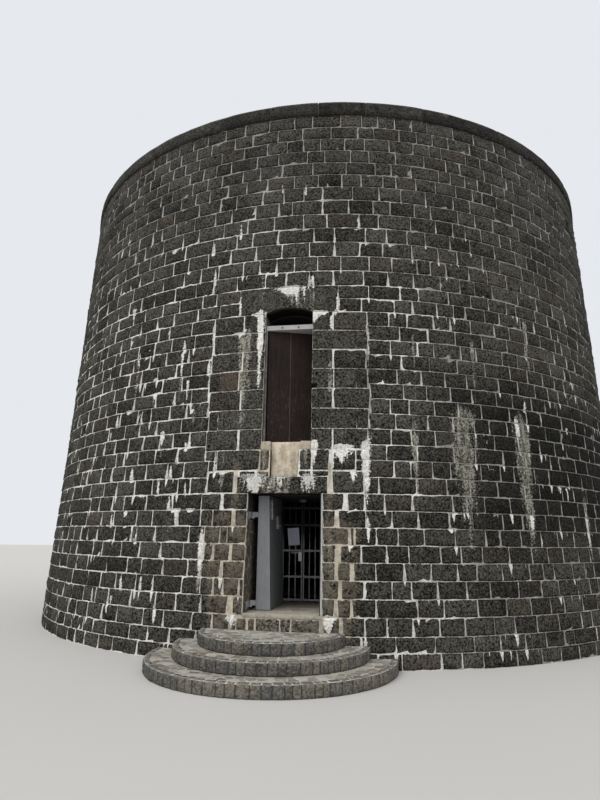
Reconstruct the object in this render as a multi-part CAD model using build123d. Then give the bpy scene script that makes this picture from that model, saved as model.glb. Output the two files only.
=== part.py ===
"""A small round gun tower of basalt, entered by a low door up three round steps.

Millimetres. The origin is on the tower's axis at ground level, +Z is up, and the
doorways face -Y. An azimuth is an angle from the doorways, positive towards +X.
"""
from build123d import *

import math
import os

# Outer shape of the wall
BASE_RADIUS = 6100.0
BATTER = 0.049
STOREY_BREAK = 2710.0
PARAPET_BED = 7130.0
PARAPET_TOP = 8500.0

# Wall, rooms and floors
WALL_FOOT_THICKNESS = 2500.0
FLOOR_LEDGE_WIDTH = 250.0
GROUND_FLOOR_HEIGHT = 650.0
FIRST_FLOOR_THICKNESS = 270.0
WALL_SECTOR = 60.0

# Vault, gun platform, parapet and coping
VAULT_CROWN_THICKNESS = 570.0
VAULT_RISE = 1350.0
VAULT_RINGS = 7
VAULT_LEDGE_WIDTH = 400.0
PLATFORM_THICKNESS = 250.0
PARAPET_THICKNESS = 1130.0
PARAPET_SECTOR = 90.0
COPING_THICKNESS = 270.0
COPING_PROJECTION = 87.0
COPING_INNER_PROJECTION = 60.0
COPING_FALL = 25.0
COPING_ROUND = 60.0

# Ground doorway
DOORWAY_WIDTH = 1066.0
DOORWAY_HEIGHT = 1590.0
THRESHOLD_THICKNESS = 50.0
LINTEL_HEIGHT = 230.0
LINTEL_DEPTH = 420.0
LINTEL_LEFT_BEARING = 170.0
LINTEL_RIGHT_BEARING = 60.0
STOP_WIDTH = 30.0
STOP_DEPTH = 55.0

# Upper doorway
UPPER_WIDTH = 720.0
UPPER_HEIGHT = 1980.0
UPPER_ARCH_RISE = 80.0
ARCH_STONE_HEIGHT = 430.0
ARCH_STONE_DEPTH = 350.0
ARCH_STONE_LEFT_BEARING = 430.0
ARCH_STONE_RIGHT_BEARING = 380.0
SILL_HEIGHT = 120.0
SILL_DEPTH = 300.0
QUOIN_COURSES = 7
QUOIN_DEPTH = 400.0
LEFT_QUOIN_SHORT = 345.0
LEFT_QUOIN_LONG = 700.0
RIGHT_QUOIN_SHORT = 300.0
RIGHT_QUOIN_LONG = 650.0
POCKET_SIZE = 70.0
POCKET_DEPTH = 130.0
POCKET_RISE = 785.0

# Rendered chute under the upper sill
CHUTE_DEPTH = 130.0
CHUTE_LEFT = -225.0
CHUTE_RIGHT_TOP = 205.0
CHUTE_RIGHT_FOOT = 175.0
CHUTE_RENDER_THICKNESS = 25.0

# Round steps
STEP_CENTRE_X = -128.0
STEP_CENTRE_SETBACK = 110.0
STEP_RISE = 148.0
STEP_RADII = {"bottom_step": 1640.0, "middle_step": 1295.0, "top_step": 975.0}
STEP_NOSING = 18.0

# Entrance door, drawn open at a right angle to the wall
DOOR_PIVOT_FROM_JAMB = 28.0
DOOR_PIVOT_DEPTH = 370.0
DOOR_HANGING_GAP = 70.0
DOOR_WIDTH = 980.0
DOOR_FOOT_THICKNESS = 205.0
DOOR_HEAD_THICKNESS = 155.0
DOOR_FOOT_GAP = 8.0
DOOR_HEAD_GAP = 15.0
DOOR_EDGE_GAP = 10.0
DOOR_BOARDS = 5
DOOR_LAYERS = 3
DOOR_LAYER_THICKNESS = 28.0
BOARD_GROOVE = 8.0
LAYER_GROOVE = 4.0
STRAP_HEIGHT = 70.0
STRAP_THICKNESS = 10.0
STRAP_LENGTH = 620.0
STRAP_RISES = (65.0, 1270.0)
KNUCKLE_RADIUS = 20.0
PIN_RADIUS = 10.0
PIN_LENGTH = 60.0
BRACKET_THICKNESS = 16.0
JAMB_PLATE_LENGTH = 180.0
JAMB_PLATE_THICKNESS = 12.0
JAMB_PLATE_GAP = 28.0
JAMB_PLATE_TAIL = 30.0
JAMB_TAIL_DROP = 34.0
DOOR_BOLT_LENGTH = 270.0
DOOR_BOLT_PLATE_WIDTH = 50.0
DOOR_BOLT_SETBACK = 120.0
DOOR_BOLT_DROP = 60.0
DOOR_LOCK_WIDTH = 110.0
DOOR_LOCK_HEIGHT = 190.0
DOOR_LOCK_DEPTH = 32.0
DOOR_LOCK_SETBACK = 560.0
DOOR_LOCK_DROP = 370.0

# Iron gate of two leaves across the passage
GATE_DEPTH = 1670.0
GATE_PIVOT_FROM_JAMB = 28.0
GATE_MEETING_X = 18.0
GATE_MEETING_GAP = 8.0
GATE_FOOT_GAP = 10.0
GATE_HEAD_GAP = 55.0
GATE_BAR_RADIUS = 9.0
GATE_STILE_RADIUS = 12.0
GATE_BARS = 4
GATE_BAR_SIDES = 8
GATE_RAIL_HEIGHT = 32.0
GATE_RAIL_THICKNESS = 8.0
GATE_RAIL_RISES = (2.0, 355.0, 760.0, 1165.0, 1435.0)
GATE_LOCK_SIZE = (55.0, 42.0, 140.0)
GATE_LOCK_RISE = 613.0
GATE_LOCK_SHIFT = 20.0
GATE_BOLT_RADIUS = 9.0
GATE_BOLT_LENGTH = 120.0
NOTICE_WIDTH = 210.0
NOTICE_HEIGHT = 297.0
NOTICE_THICKNESS = 1.5
NOTICE_RISE = 848.0
NOTICE_SIDE_GAP = 45.0

# Passage lamp
LAMP_DEPTH = 1500.0
LAMP_X = 40.0
LAMP_RADIUS = 62.0
LAMP_HEIGHT = 42.0
LAMP_SPLAY = 18.0

# Upper door, its transom and post
TRANSOM_HEIGHT = 75.0
TRANSOM_LENGTH_INWARD = 350.0
TRANSOM_SETBACK = 120.0
TRANSOM_RISE = 1720.0
POST_WIDTH = 25.0
POST_DEPTH = 90.0
UPPER_DOOR_THICKNESS = 50.0
UPPER_DOOR_WIDTH = 675.0
UPPER_DOOR_BOARDS = 2
UPPER_DOOR_AJAR = 18.0
UPPER_DOOR_SETBACK = 25.0

# Fit
SEAT_GAP = 0.3
FAR = 8000.0

# Heights worked out from the sizes above
FIRST_FLOOR_TOP = STOREY_BREAK + FIRST_FLOOR_THICKNESS
DOORWAY_TOP = GROUND_FLOOR_HEIGHT + DOORWAY_HEIGHT
LINTEL_TOP = DOORWAY_TOP + LINTEL_HEIGHT
UPPER_SPRING = FIRST_FLOOR_TOP + UPPER_HEIGHT
SILL_BOTTOM = FIRST_FLOOR_TOP - SILL_HEIGHT
PLATFORM_TOP = PARAPET_BED + PLATFORM_THICKNESS
VAULT_SPRING = PARAPET_BED - VAULT_CROWN_THICKNESS - VAULT_RISE
QUOIN_HEIGHT = (UPPER_SPRING - SILL_BOTTOM) / QUOIN_COURSES

# Radii worked out from the sizes above
GROUND_ROOM_RADIUS = BASE_RADIUS - WALL_FOOT_THICKNESS
UPPER_ROOM_RADIUS = GROUND_ROOM_RADIUS + FLOOR_LEDGE_WIDTH
VAULT_SEAT_RADIUS = UPPER_ROOM_RADIUS + VAULT_LEDGE_WIDTH
PARAPET_INNER_RADIUS = BASE_RADIUS - BATTER * PARAPET_TOP - PARAPET_THICKNESS
STEP_CENTRE_RADIUS = BASE_RADIUS - STEP_CENTRE_SETBACK


def face_radius(height):
    """Outer radius of the wall at a height."""
    return BASE_RADIUS - BATTER * height


def face_y(height):
    """Y of the wall's outer face, over the doorways, at a height."""
    return -face_radius(height)


DOOR_FACE_Y = face_y(GROUND_FLOOR_HEIGHT)
UPPER_FACE_Y = face_y(FIRST_FLOOR_TOP)
DOOR_PIVOT_X = -DOORWAY_WIDTH / 2 + DOOR_PIVOT_FROM_JAMB
DOOR_PIVOT_Y = DOOR_FACE_Y + DOOR_PIVOT_DEPTH
STRAP_FEET = [GROUND_FLOOR_HEIGHT + rise for rise in STRAP_RISES]
GATE_Y = DOOR_FACE_Y + GATE_DEPTH
GATE_FOOT = GROUND_FLOOR_HEIGHT + GATE_FOOT_GAP
GATE_HEAD = DOORWAY_TOP - GATE_HEAD_GAP


def block(x_range, y_range, z_range):
    """A squared block between two planes in each direction."""
    size = [high - low for low, high in (x_range, y_range, z_range)]
    centre = [(high + low) / 2 for low, high in (x_range, y_range, z_range)]
    return Pos(*centre) * Box(*size)


def turned(points, start_azimuth=0.0, sweep=360.0):
    """A solid turned about the tower's axis from points of radius and height."""
    section = Plane.XZ * make_face(Polyline(*points, close=True))
    return Rot(0, 0, start_azimuth - 90) * revolve(section, Axis.Z, sweep)


def battered_core(spread=0.0):
    """The whole tower as one battered solid, up to the parapet's top."""
    foot = BASE_RADIUS + spread
    head = face_radius(PARAPET_TOP) + spread
    return turned([(0, 0), (foot, 0), (head, PARAPET_TOP), (0, PARAPET_TOP)])


def in_wall(x_range, z_range, depth):
    """A block let into the front of the wall, to a depth behind its face at the block's foot."""
    back = face_y(z_range[0]) + depth
    return block(x_range, (-FAR, back), z_range)


def ground_sector(start_azimuth, sweep=WALL_SECTOR):
    """A sector of the ground storey's wall."""
    return turned(
        [
            (GROUND_ROOM_RADIUS, 0),
            (BASE_RADIUS, 0),
            (face_radius(STOREY_BREAK), STOREY_BREAK),
            (GROUND_ROOM_RADIUS, STOREY_BREAK),
        ],
        start_azimuth,
        sweep,
    )


def upper_sector(start_azimuth, sweep=WALL_SECTOR):
    """A sector of the upper storey's wall, with the ledge that the vault springs from."""
    return turned(
        [
            (UPPER_ROOM_RADIUS, STOREY_BREAK),
            (face_radius(STOREY_BREAK), STOREY_BREAK),
            (face_radius(PARAPET_BED), PARAPET_BED),
            (VAULT_SEAT_RADIUS, PARAPET_BED),
            (VAULT_SEAT_RADIUS, VAULT_SPRING),
            (UPPER_ROOM_RADIUS, VAULT_SPRING),
        ],
        start_azimuth,
        sweep,
    )


def lintel_block():
    """The space that the door's lintel takes up in the wall."""
    half = DOORWAY_WIDTH / 2
    span = (-half - LINTEL_LEFT_BEARING, half + LINTEL_RIGHT_BEARING)
    return in_wall(span, (DOORWAY_TOP, LINTEL_TOP), LINTEL_DEPTH)


def arch_stone_block():
    """The space that the upper door's arch stone takes up in the wall."""
    half = UPPER_WIDTH / 2
    span = (-half - ARCH_STONE_LEFT_BEARING, half + ARCH_STONE_RIGHT_BEARING)
    return in_wall(span, (UPPER_SPRING, UPPER_SPRING + ARCH_STONE_HEIGHT), ARCH_STONE_DEPTH)


def upper_opening():
    """The upper doorway's void, with its segmental head, through the whole wall."""
    half = UPPER_WIDTH / 2
    foot = FIRST_FLOOR_TOP
    outline = Polyline((-half, UPPER_SPRING), (-half, foot), (half, foot), (half, UPPER_SPRING))
    head = ThreePointArc(
        (half, UPPER_SPRING), (0, UPPER_SPRING + UPPER_ARCH_RISE), (-half, UPPER_SPRING)
    )
    return extrude(Plane.XZ * make_face([outline, head]), FAR)


def quoin_stack(side, short, long):
    """Short and long dressed stones by turns beside the upper doorway; side is -1 or 1."""
    stack = None
    for course in range(QUOIN_COURSES):
        length = short if course % 2 == 0 else long
        inner = side * UPPER_WIDTH / 2
        outer = inner + side * length
        foot = SILL_BOTTOM + course * QUOIN_HEIGHT
        back = face_y(SILL_BOTTOM) + QUOIN_DEPTH
        stone = block(sorted((inner, outer)), (-FAR, back), (foot, foot + QUOIN_HEIGHT))
        stack = stone if stack is None else stack + stone
    return stack


def left_quoin_block():
    return quoin_stack(-1, LEFT_QUOIN_SHORT, LEFT_QUOIN_LONG)


def right_quoin_block():
    return quoin_stack(1, RIGHT_QUOIN_SHORT, RIGHT_QUOIN_LONG)


def bolt_pocket():
    """The socket for a bar, cut in the right jamb of the upper doorway."""
    half = UPPER_WIDTH / 2
    foot = FIRST_FLOOR_TOP + POCKET_RISE
    return in_wall((half, half + POCKET_SIZE), (foot, foot + POCKET_SIZE), POCKET_DEPTH)


def chute_void(depth):
    """The chute's slot below the upper doorway, leaning to one side like the real one."""
    outline = Polyline(
        (CHUTE_LEFT, LINTEL_TOP),
        (CHUTE_RIGHT_FOOT, LINTEL_TOP),
        (CHUTE_RIGHT_TOP, FIRST_FLOOR_TOP),
        (CHUTE_LEFT, FIRST_FLOOR_TOP),
        close=True,
    )
    back = face_y(LINTEL_TOP) + depth
    return Pos(0, back, 0) * extrude(Plane.XZ * make_face(outline), FAR)


def ground_wall():
    """Ground storey: six sectors, the front pair cut back to the doorway's jambs."""
    half = DOORWAY_WIDTH / 2
    doorway = block((-half, half), (-FAR, 0), (-1, STOREY_BREAK + 1))
    opening = doorway + lintel_block()
    return {
        "ground_wall_front_right": ground_sector(0) - opening,
        "ground_wall_right": ground_sector(WALL_SECTOR),
        "ground_wall_back_right": ground_sector(2 * WALL_SECTOR),
        "ground_wall_back_left": ground_sector(3 * WALL_SECTOR),
        "ground_wall_left": ground_sector(4 * WALL_SECTOR),
        "ground_wall_front_left": ground_sector(5 * WALL_SECTOR) - opening,
    }


def upper_wall():
    """Upper storey: six sectors, the front pair cut back to the dressed jambs."""
    half = UPPER_WIDTH / 2
    doorway = block((-half, half), (-FAR, 0), (STOREY_BREAK - 1, PARAPET_BED + 1))
    opening = doorway + arch_stone_block()
    return {
        "upper_wall_front_right": upper_sector(0) - opening - right_quoin_block(),
        "upper_wall_right": upper_sector(WALL_SECTOR),
        "upper_wall_back_right": upper_sector(2 * WALL_SECTOR),
        "upper_wall_back_left": upper_sector(3 * WALL_SECTOR),
        "upper_wall_left": upper_sector(4 * WALL_SECTOR),
        "upper_wall_front_left": upper_sector(5 * WALL_SECTOR) - opening - left_quoin_block(),
    }


def doorway_masonry():
    """The wall under and over each doorway, between its jambs."""
    half = DOORWAY_WIDTH / 2
    upper_half = UPPER_WIDTH / 2
    storey = ground_sector(-WALL_SECTOR / 2)
    upper_storey = upper_sector(-WALL_SECTOR / 2)
    slab_foot = GROUND_FLOOR_HEIGHT - THRESHOLD_THICKNESS
    between = (-half, half)
    upper_between = (-upper_half, upper_half)
    over_door = storey & block(between, (-FAR, 0), (DOORWAY_TOP, STOREY_BREAK))
    under_upper = upper_storey & block(upper_between, (-FAR, 0), (STOREY_BREAK, FIRST_FLOOR_TOP))
    over_upper = upper_storey & block(upper_between, (-FAR, 0), (FIRST_FLOOR_TOP, PARAPET_BED))
    sill = in_wall(upper_between, (SILL_BOTTOM, FIRST_FLOOR_TOP), SILL_DEPTH)
    chute = chute_void(CHUTE_DEPTH)
    return {
        "wall_under_door": storey & block(between, (-FAR, 0), (0, slab_foot)),
        "threshold_slab": storey & block(between, (-FAR, 0), (slab_foot, GROUND_FLOOR_HEIGHT)),
        "wall_over_door": over_door - lintel_block() - chute,
        "wall_under_upper_door": under_upper - sill - chute,
        "wall_over_upper_door": over_upper - upper_opening() - arch_stone_block(),
    }


def dressed_stones():
    """Lintel, arch stone, sill, jamb stones and the chute's render."""
    core = battered_core()
    upper_half = UPPER_WIDTH / 2
    sill = in_wall((-upper_half, upper_half), (SILL_BOTTOM, FIRST_FLOOR_TOP), SILL_DEPTH)
    render = chute_void(CHUTE_DEPTH) - chute_void(CHUTE_DEPTH - CHUTE_RENDER_THICKNESS)
    return {
        "door_lintel": core & lintel_block(),
        "upper_arch_stone": (core & arch_stone_block()) - upper_opening(),
        "upper_sill": (core & sill) - chute_void(CHUTE_DEPTH),
        "upper_left_quoins": core & left_quoin_block(),
        "upper_right_quoins": (core & right_quoin_block()) - bolt_pocket(),
        "chute_render": render,
    }


def ground_floor():
    return turned(
        [
            (0, 0),
            (GROUND_ROOM_RADIUS - SEAT_GAP, 0),
            (GROUND_ROOM_RADIUS - SEAT_GAP, GROUND_FLOOR_HEIGHT),
            (0, GROUND_FLOOR_HEIGHT),
        ]
    )


def first_floor():
    """The floor of the upper room, which rests on the ledge of the ground storey's wall."""
    radius = UPPER_ROOM_RADIUS - SEAT_GAP
    return turned(
        [(0, STOREY_BREAK), (radius, STOREY_BREAK), (radius, FIRST_FLOOR_TOP), (0, FIRST_FLOOR_TOP)]
    )


def roof_vault():
    """A low dome of stone rings on the wall's upper ledge, levelled up to carry the platform."""
    seat = VAULT_SEAT_RADIUS - SEAT_GAP
    curve_radius = (UPPER_ROOM_RADIUS**2 + VAULT_RISE**2) / (2 * VAULT_RISE)
    curve_centre = VAULT_SPRING + VAULT_RISE - curve_radius
    half_angle = math.asin(UPPER_ROOM_RADIUS / curve_radius)
    soffit = []
    for ring in range(VAULT_RINGS + 1):
        angle = half_angle * ring / VAULT_RINGS
        soffit.append((curve_radius * math.sin(angle), curve_centre + curve_radius * math.cos(angle)))
    return turned(soffit + [(seat, VAULT_SPRING), (seat, PARAPET_BED), (0, PARAPET_BED)])


def gun_platform():
    radius = PARAPET_INNER_RADIUS - SEAT_GAP
    return turned([(0, PARAPET_BED), (radius, PARAPET_BED), (radius, PLATFORM_TOP), (0, PLATFORM_TOP)])


def parapet():
    """The breast wall round the platform, in quarters."""
    section = [
        (PARAPET_INNER_RADIUS, PARAPET_BED),
        (face_radius(PARAPET_BED), PARAPET_BED),
        (face_radius(PARAPET_TOP), PARAPET_TOP),
        (PARAPET_INNER_RADIUS, PARAPET_TOP),
    ]
    starts = {
        "parapet_front": -PARAPET_SECTOR / 2,
        "parapet_right": PARAPET_SECTOR / 2,
        "parapet_back": 1.5 * PARAPET_SECTOR,
        "parapet_left": 2.5 * PARAPET_SECTOR,
    }
    return {name: turned(section, start, PARAPET_SECTOR) for name, start in starts.items()}


def coping():
    """The ring of cap stones, projecting a little, with a worn outer edge."""
    inner = PARAPET_INNER_RADIUS - COPING_INNER_PROJECTION
    outer = face_radius(PARAPET_TOP) + COPING_PROJECTION
    top = PARAPET_TOP + COPING_THICKNESS
    worn = COPING_ROUND * (1 - math.sqrt(0.5))
    return turned(
        [
            (inner, PARAPET_TOP),
            (outer, PARAPET_TOP),
            (outer, top - COPING_ROUND),
            (outer - worn, top - worn),
            (outer - COPING_ROUND, top),
            (inner, top + COPING_FALL),
        ]
    )


def round_steps():
    """Three round steps, each a disc on the one below, cut back to the wall's face."""
    wall_face = battered_core(SEAT_GAP)
    steps = {}
    for course, (name, radius) in enumerate(STEP_RADII.items()):
        foot = course * STEP_RISE
        disc = Cylinder(radius, STEP_RISE, align=(Align.CENTER, Align.CENTER, Align.MIN))
        nosing = disc.edges().filter_by(GeomType.CIRCLE).sort_by(Axis.Z)[-1]
        disc = chamfer(nosing, STEP_NOSING)
        steps[name] = Pos(STEP_CENTRE_X, -STEP_CENTRE_RADIUS, foot) * disc - wall_face
    return steps


def door_section(thickness):
    """Plan of the door's leaf: V grooves show its layers on the edge and its boards on the face."""
    left = DOOR_PIVOT_X + DOOR_HANGING_GAP
    front = DOOR_PIVOT_Y + DOOR_EDGE_GAP
    right = left + thickness
    board = DOOR_WIDTH / DOOR_BOARDS
    points = [(left, front)]
    for layer in range(DOOR_LAYERS, 0, -1):
        middle = right - layer * DOOR_LAYER_THICKNESS
        points.append((middle - LAYER_GROOVE / 2, front))
        points.append((middle, front + LAYER_GROOVE))
        points.append((middle + LAYER_GROOVE / 2, front))
    points.append((right, front))
    for joint in range(1, DOOR_BOARDS):
        middle = front + joint * board
        points.append((right, middle - BOARD_GROOVE / 2))
        points.append((right - BOARD_GROOVE, middle))
        points.append((right, middle + BOARD_GROOVE / 2))
    points += [(right, front + DOOR_WIDTH), (left, front + DOOR_WIDTH)]
    return make_face(Polyline(*points, close=True))


DOOR_FOOT = GROUND_FLOOR_HEIGHT + DOOR_FOOT_GAP
DOOR_HEAD = DOORWAY_TOP - DOOR_HEAD_GAP
DOOR_LEAN = math.atan2(DOOR_FOOT_THICKNESS - DOOR_HEAD_THICKNESS, DOOR_HEAD - DOOR_FOOT)


def door_leaf():
    """The heavy board leaf, thicker at its foot than at its head."""
    foot = Pos(0, 0, DOOR_FOOT) * door_section(DOOR_FOOT_THICKNESS)
    head = Pos(0, 0, DOOR_HEAD) * door_section(DOOR_HEAD_THICKNESS)
    return loft([foot, head], ruled=True)


def on_door_face(setback, height):
    """A place on the leaf's thick side: local Z stands off the boards, local Y runs up them."""
    share = (height - DOOR_FOOT) / (DOOR_HEAD - DOOR_FOOT)
    thickness = DOOR_FOOT_THICKNESS + share * (DOOR_HEAD_THICKNESS - DOOR_FOOT_THICKNESS)
    x = DOOR_PIVOT_X + DOOR_HANGING_GAP + thickness
    y = DOOR_PIVOT_Y + DOOR_EDGE_GAP + setback
    normal = (math.cos(DOOR_LEAN), 0, math.sin(DOOR_LEAN))
    return Plane(origin=(x, y, height), x_dir=(0, 1, 0), z_dir=normal)


def door_strap(foot):
    """A strap hinge: knuckle on the pin, a short arm to the leaf and a long strap along it."""
    z_range = (foot, foot + STRAP_HEIGHT)
    leaf_side = DOOR_PIVOT_X + DOOR_HANGING_GAP - SEAT_GAP
    arm = block(
        (DOOR_PIVOT_X, leaf_side),
        (DOOR_PIVOT_Y - STRAP_THICKNESS / 2, DOOR_PIVOT_Y + STRAP_THICKNESS / 2),
        z_range,
    )
    strap = block(
        (leaf_side - STRAP_THICKNESS, leaf_side),
        (DOOR_PIVOT_Y - STRAP_THICKNESS / 2, DOOR_PIVOT_Y + STRAP_LENGTH),
        z_range,
    )
    low = (Align.CENTER, Align.CENTER, Align.MIN)
    at_pin = Pos(DOOR_PIVOT_X, DOOR_PIVOT_Y, foot)
    knuckle = at_pin * Cylinder(KNUCKLE_RADIUS, STRAP_HEIGHT, align=low)
    bore = at_pin * Cylinder(PIN_RADIUS + SEAT_GAP, STRAP_HEIGHT, align=low)
    return arm + strap + knuckle - bore


def door_pintle(strap_foot):
    """The bracket on its jamb plate, with the pin that the strap's knuckle turns on."""
    top = strap_foot - SEAT_GAP
    jamb = -DOORWAY_WIDTH / 2
    bracket = block(
        (jamb, DOOR_PIVOT_X),
        (DOOR_PIVOT_Y - KNUCKLE_RADIUS, DOOR_PIVOT_Y + KNUCKLE_RADIUS),
        (top - BRACKET_THICKNESS, top),
    )
    front = DOOR_PIVOT_Y - JAMB_PLATE_LENGTH
    inward = (jamb, jamb + JAMB_PLATE_THICKNESS)
    head = strap_foot + STRAP_HEIGHT
    plate = block(inward, (front, DOOR_PIVOT_Y - JAMB_PLATE_GAP), (top - BRACKET_THICKNESS, head))
    plate += block(inward, (front, front + JAMB_PLATE_TAIL), (strap_foot - JAMB_TAIL_DROP, head))
    plate += block(inward, (front, DOOR_PIVOT_Y), (top - BRACKET_THICKNESS, top))
    low = (Align.CENTER, Align.CENTER, Align.MIN)
    nose = Pos(DOOR_PIVOT_X, DOOR_PIVOT_Y, top - BRACKET_THICKNESS)
    nose *= Cylinder(KNUCKLE_RADIUS, BRACKET_THICKNESS, align=low)
    pin = Pos(DOOR_PIVOT_X, DOOR_PIVOT_Y, top) * Cylinder(PIN_RADIUS, PIN_LENGTH, align=low)
    return plate + bracket + nose + pin


def door_bolt():
    """A long bolt on its plate near the top of the leaf."""
    height = DOOR_HEAD - DOOR_BOLT_DROP - DOOR_BOLT_LENGTH / 2
    place = on_door_face(DOOR_BOLT_SETBACK, height)
    low = (Align.CENTER, Align.CENTER, Align.MIN)
    plate = Pos(0, 0, SEAT_GAP) * Box(DOOR_BOLT_PLATE_WIDTH, DOOR_BOLT_LENGTH, 6, align=low)
    rod = Pos(0, 0, 20) * Rot(90, 0, 0) * Cylinder(8, DOOR_BOLT_LENGTH + 20)
    keepers = [Pos(0, shift, SEAT_GAP) * Box(40, 22, 34, align=low) for shift in (-90, 0, 90)]
    return place * (plate + rod + keepers)


def door_lock():
    """A box lock further back on the leaf."""
    place = on_door_face(DOOR_LOCK_SETBACK, DOOR_HEAD - DOOR_LOCK_DROP)
    low = (Align.CENTER, Align.CENTER, Align.MIN)
    case = Pos(0, 0, SEAT_GAP) * Box(DOOR_LOCK_WIDTH, DOOR_LOCK_HEIGHT, DOOR_LOCK_DEPTH, align=low)
    case = fillet(case.edges().filter_by(Axis.Z), 10)
    knob = Pos(25, -45, DOOR_LOCK_DEPTH) * Cylinder(13, 22, align=low)
    return place * (case + knob)


def bar_flat(radius):
    """Distance from a gate bar's middle to its flats."""
    return radius * math.cos(math.pi / GATE_BAR_SIDES)


def gate_bar(x, radius):
    """An upright of the gate, forged to eight sides."""
    section = RegularPolygon(radius, GATE_BAR_SIDES, rotation=180 / GATE_BAR_SIDES)
    return Pos(x, GATE_Y, GATE_FOOT) * extrude(section, GATE_HEAD - GATE_FOOT)


def gate_leaf(side):
    """A leaf of round bars through flat rails; side is -1 for the left one and 1 for the right."""
    pivot = side * (DOORWAY_WIDTH / 2 - GATE_PIVOT_FROM_JAMB)
    meeting = GATE_MEETING_X + side * (GATE_MEETING_GAP / 2 + GATE_STILE_RADIUS)
    leaf = gate_bar(pivot, GATE_STILE_RADIUS) + gate_bar(meeting, GATE_STILE_RADIUS)
    for bar in range(1, GATE_BARS + 1):
        leaf += gate_bar(pivot + (meeting - pivot) * bar / (GATE_BARS + 1), GATE_BAR_RADIUS)
    for rise in GATE_RAIL_RISES:
        leaf += block(
            sorted((pivot, meeting)),
            (GATE_Y - GATE_RAIL_THICKNESS / 2, GATE_Y + GATE_RAIL_THICKNESS / 2),
            (GATE_FOOT + rise, GATE_FOOT + rise + GATE_RAIL_HEIGHT),
        )
    return leaf


def gate_hinges():
    """Foot blocks and head collars for the gate's two pivots."""
    low = (Align.CENTER, Align.CENTER, Align.MIN)
    reach = 26.0
    collar_foot = GATE_HEAD - 40.0
    pieces = []
    for side in (-1, 1):
        jamb = side * DOORWAY_WIDTH / 2
        pivot = side * (DOORWAY_WIDTH / 2 - GATE_PIVOT_FROM_JAMB)
        x_range = sorted((jamb, pivot - side * reach))
        y_range = (GATE_Y - reach, GATE_Y + reach)
        pieces.append(block(x_range, y_range, (GROUND_FLOOR_HEIGHT, GATE_FOOT - SEAT_GAP)))
        collar = block(x_range, y_range, (collar_foot, collar_foot + 18))
        bore = Pos(pivot, GATE_Y, collar_foot) * Cylinder(GATE_STILE_RADIUS + SEAT_GAP, 18, align=low)
        pieces.append(collar - bore)
    return Compound(children=pieces)


def gate_lock():
    """Lock box and slide bolt on the left leaf's meeting stile."""
    meeting = GATE_MEETING_X - GATE_MEETING_GAP / 2 - GATE_STILE_RADIUS
    front = GATE_Y - bar_flat(GATE_STILE_RADIUS) - SEAT_GAP
    width, depth, height = GATE_LOCK_SIZE
    foot = GATE_FOOT + GATE_LOCK_RISE
    left = meeting - GATE_LOCK_SHIFT - width / 2
    case = block((left, left + width), (front - depth, front), (foot, foot + height))
    case = fillet(case.edges().filter_by(Axis.Y), 10)
    bolt = Pos(left - GATE_BOLT_LENGTH / 2, front - depth / 2, foot + height - 12)
    bolt *= Rot(0, 90, 0) * Cylinder(GATE_BOLT_RADIUS, GATE_BOLT_LENGTH)
    return case + bolt


def notice_sheet():
    """A blank paper sheet tied to the left leaf of the gate."""
    right = GATE_MEETING_X - NOTICE_SIDE_GAP
    front = GATE_Y - bar_flat(GATE_BAR_RADIUS) - SEAT_GAP
    foot = GATE_FOOT + NOTICE_RISE
    return block(
        (right - NOTICE_WIDTH, right), (front - NOTICE_THICKNESS, front), (foot, foot + NOTICE_HEIGHT)
    )


def passage_lamp():
    """A flat round lamp on the passage's soffit."""
    disc = Cylinder(LAMP_RADIUS, LAMP_HEIGHT)
    disc = chamfer(disc.edges().filter_by(GeomType.CIRCLE).sort_by(Axis.Z)[0], LAMP_SPLAY)
    return Pos(LAMP_X, DOOR_FACE_Y + LAMP_DEPTH, DOORWAY_TOP - LAMP_HEIGHT / 2) * disc


def door_stop():
    """The painted strip up the right jamb that the closed door meets."""
    right = DOORWAY_WIDTH / 2
    back = face_y(DOORWAY_TOP) + STOP_DEPTH
    strip = block((right - STOP_WIDTH, right), (-FAR, back), (GROUND_FLOOR_HEIGHT, DOORWAY_TOP))
    return strip & battered_core()


def upper_transom():
    """The bolted beam across the upper doorway, over the door."""
    half = UPPER_WIDTH / 2
    front = UPPER_FACE_Y + TRANSOM_SETBACK
    foot = FIRST_FLOOR_TOP + TRANSOM_RISE
    return block((-half, half), (front, front + TRANSOM_LENGTH_INWARD), (foot, foot + TRANSOM_HEIGHT))


def upper_post():
    """The thin post that the upper door hangs on, at the left jamb."""
    left = -UPPER_WIDTH / 2
    front = UPPER_FACE_Y + TRANSOM_SETBACK
    return block(
        (left, left + POST_WIDTH), (front, front + POST_DEPTH),
        (FIRST_FLOOR_TOP, FIRST_FLOOR_TOP + TRANSOM_RISE),
    )


def upper_door():
    """Wide boards standing ajar, the right-hand edge swung inwards."""
    board_width = UPPER_DOOR_WIDTH / UPPER_DOOR_BOARDS
    points = [(0, 0)]
    for joint in range(1, UPPER_DOOR_BOARDS):
        middle = joint * board_width
        points += [(middle - 4, 0), (middle, 6), (middle + 4, 0)]
    points += [
        (UPPER_DOOR_WIDTH, 0), (UPPER_DOOR_WIDTH, UPPER_DOOR_THICKNESS), (0, UPPER_DOOR_THICKNESS)
    ]
    height = TRANSOM_RISE - 2 * SEAT_GAP
    leaf = extrude(make_face(Polyline(*points, close=True)), height)
    heel = UPPER_DOOR_THICKNESS * math.sin(math.radians(UPPER_DOOR_AJAR))
    x = -UPPER_WIDTH / 2 + POST_WIDTH + heel + SEAT_GAP
    y = UPPER_FACE_Y + TRANSOM_SETBACK + UPPER_DOOR_SETBACK
    return Pos(x, y, FIRST_FLOOR_TOP + SEAT_GAP) * Rot(0, 0, UPPER_DOOR_AJAR) * leaf


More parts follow.
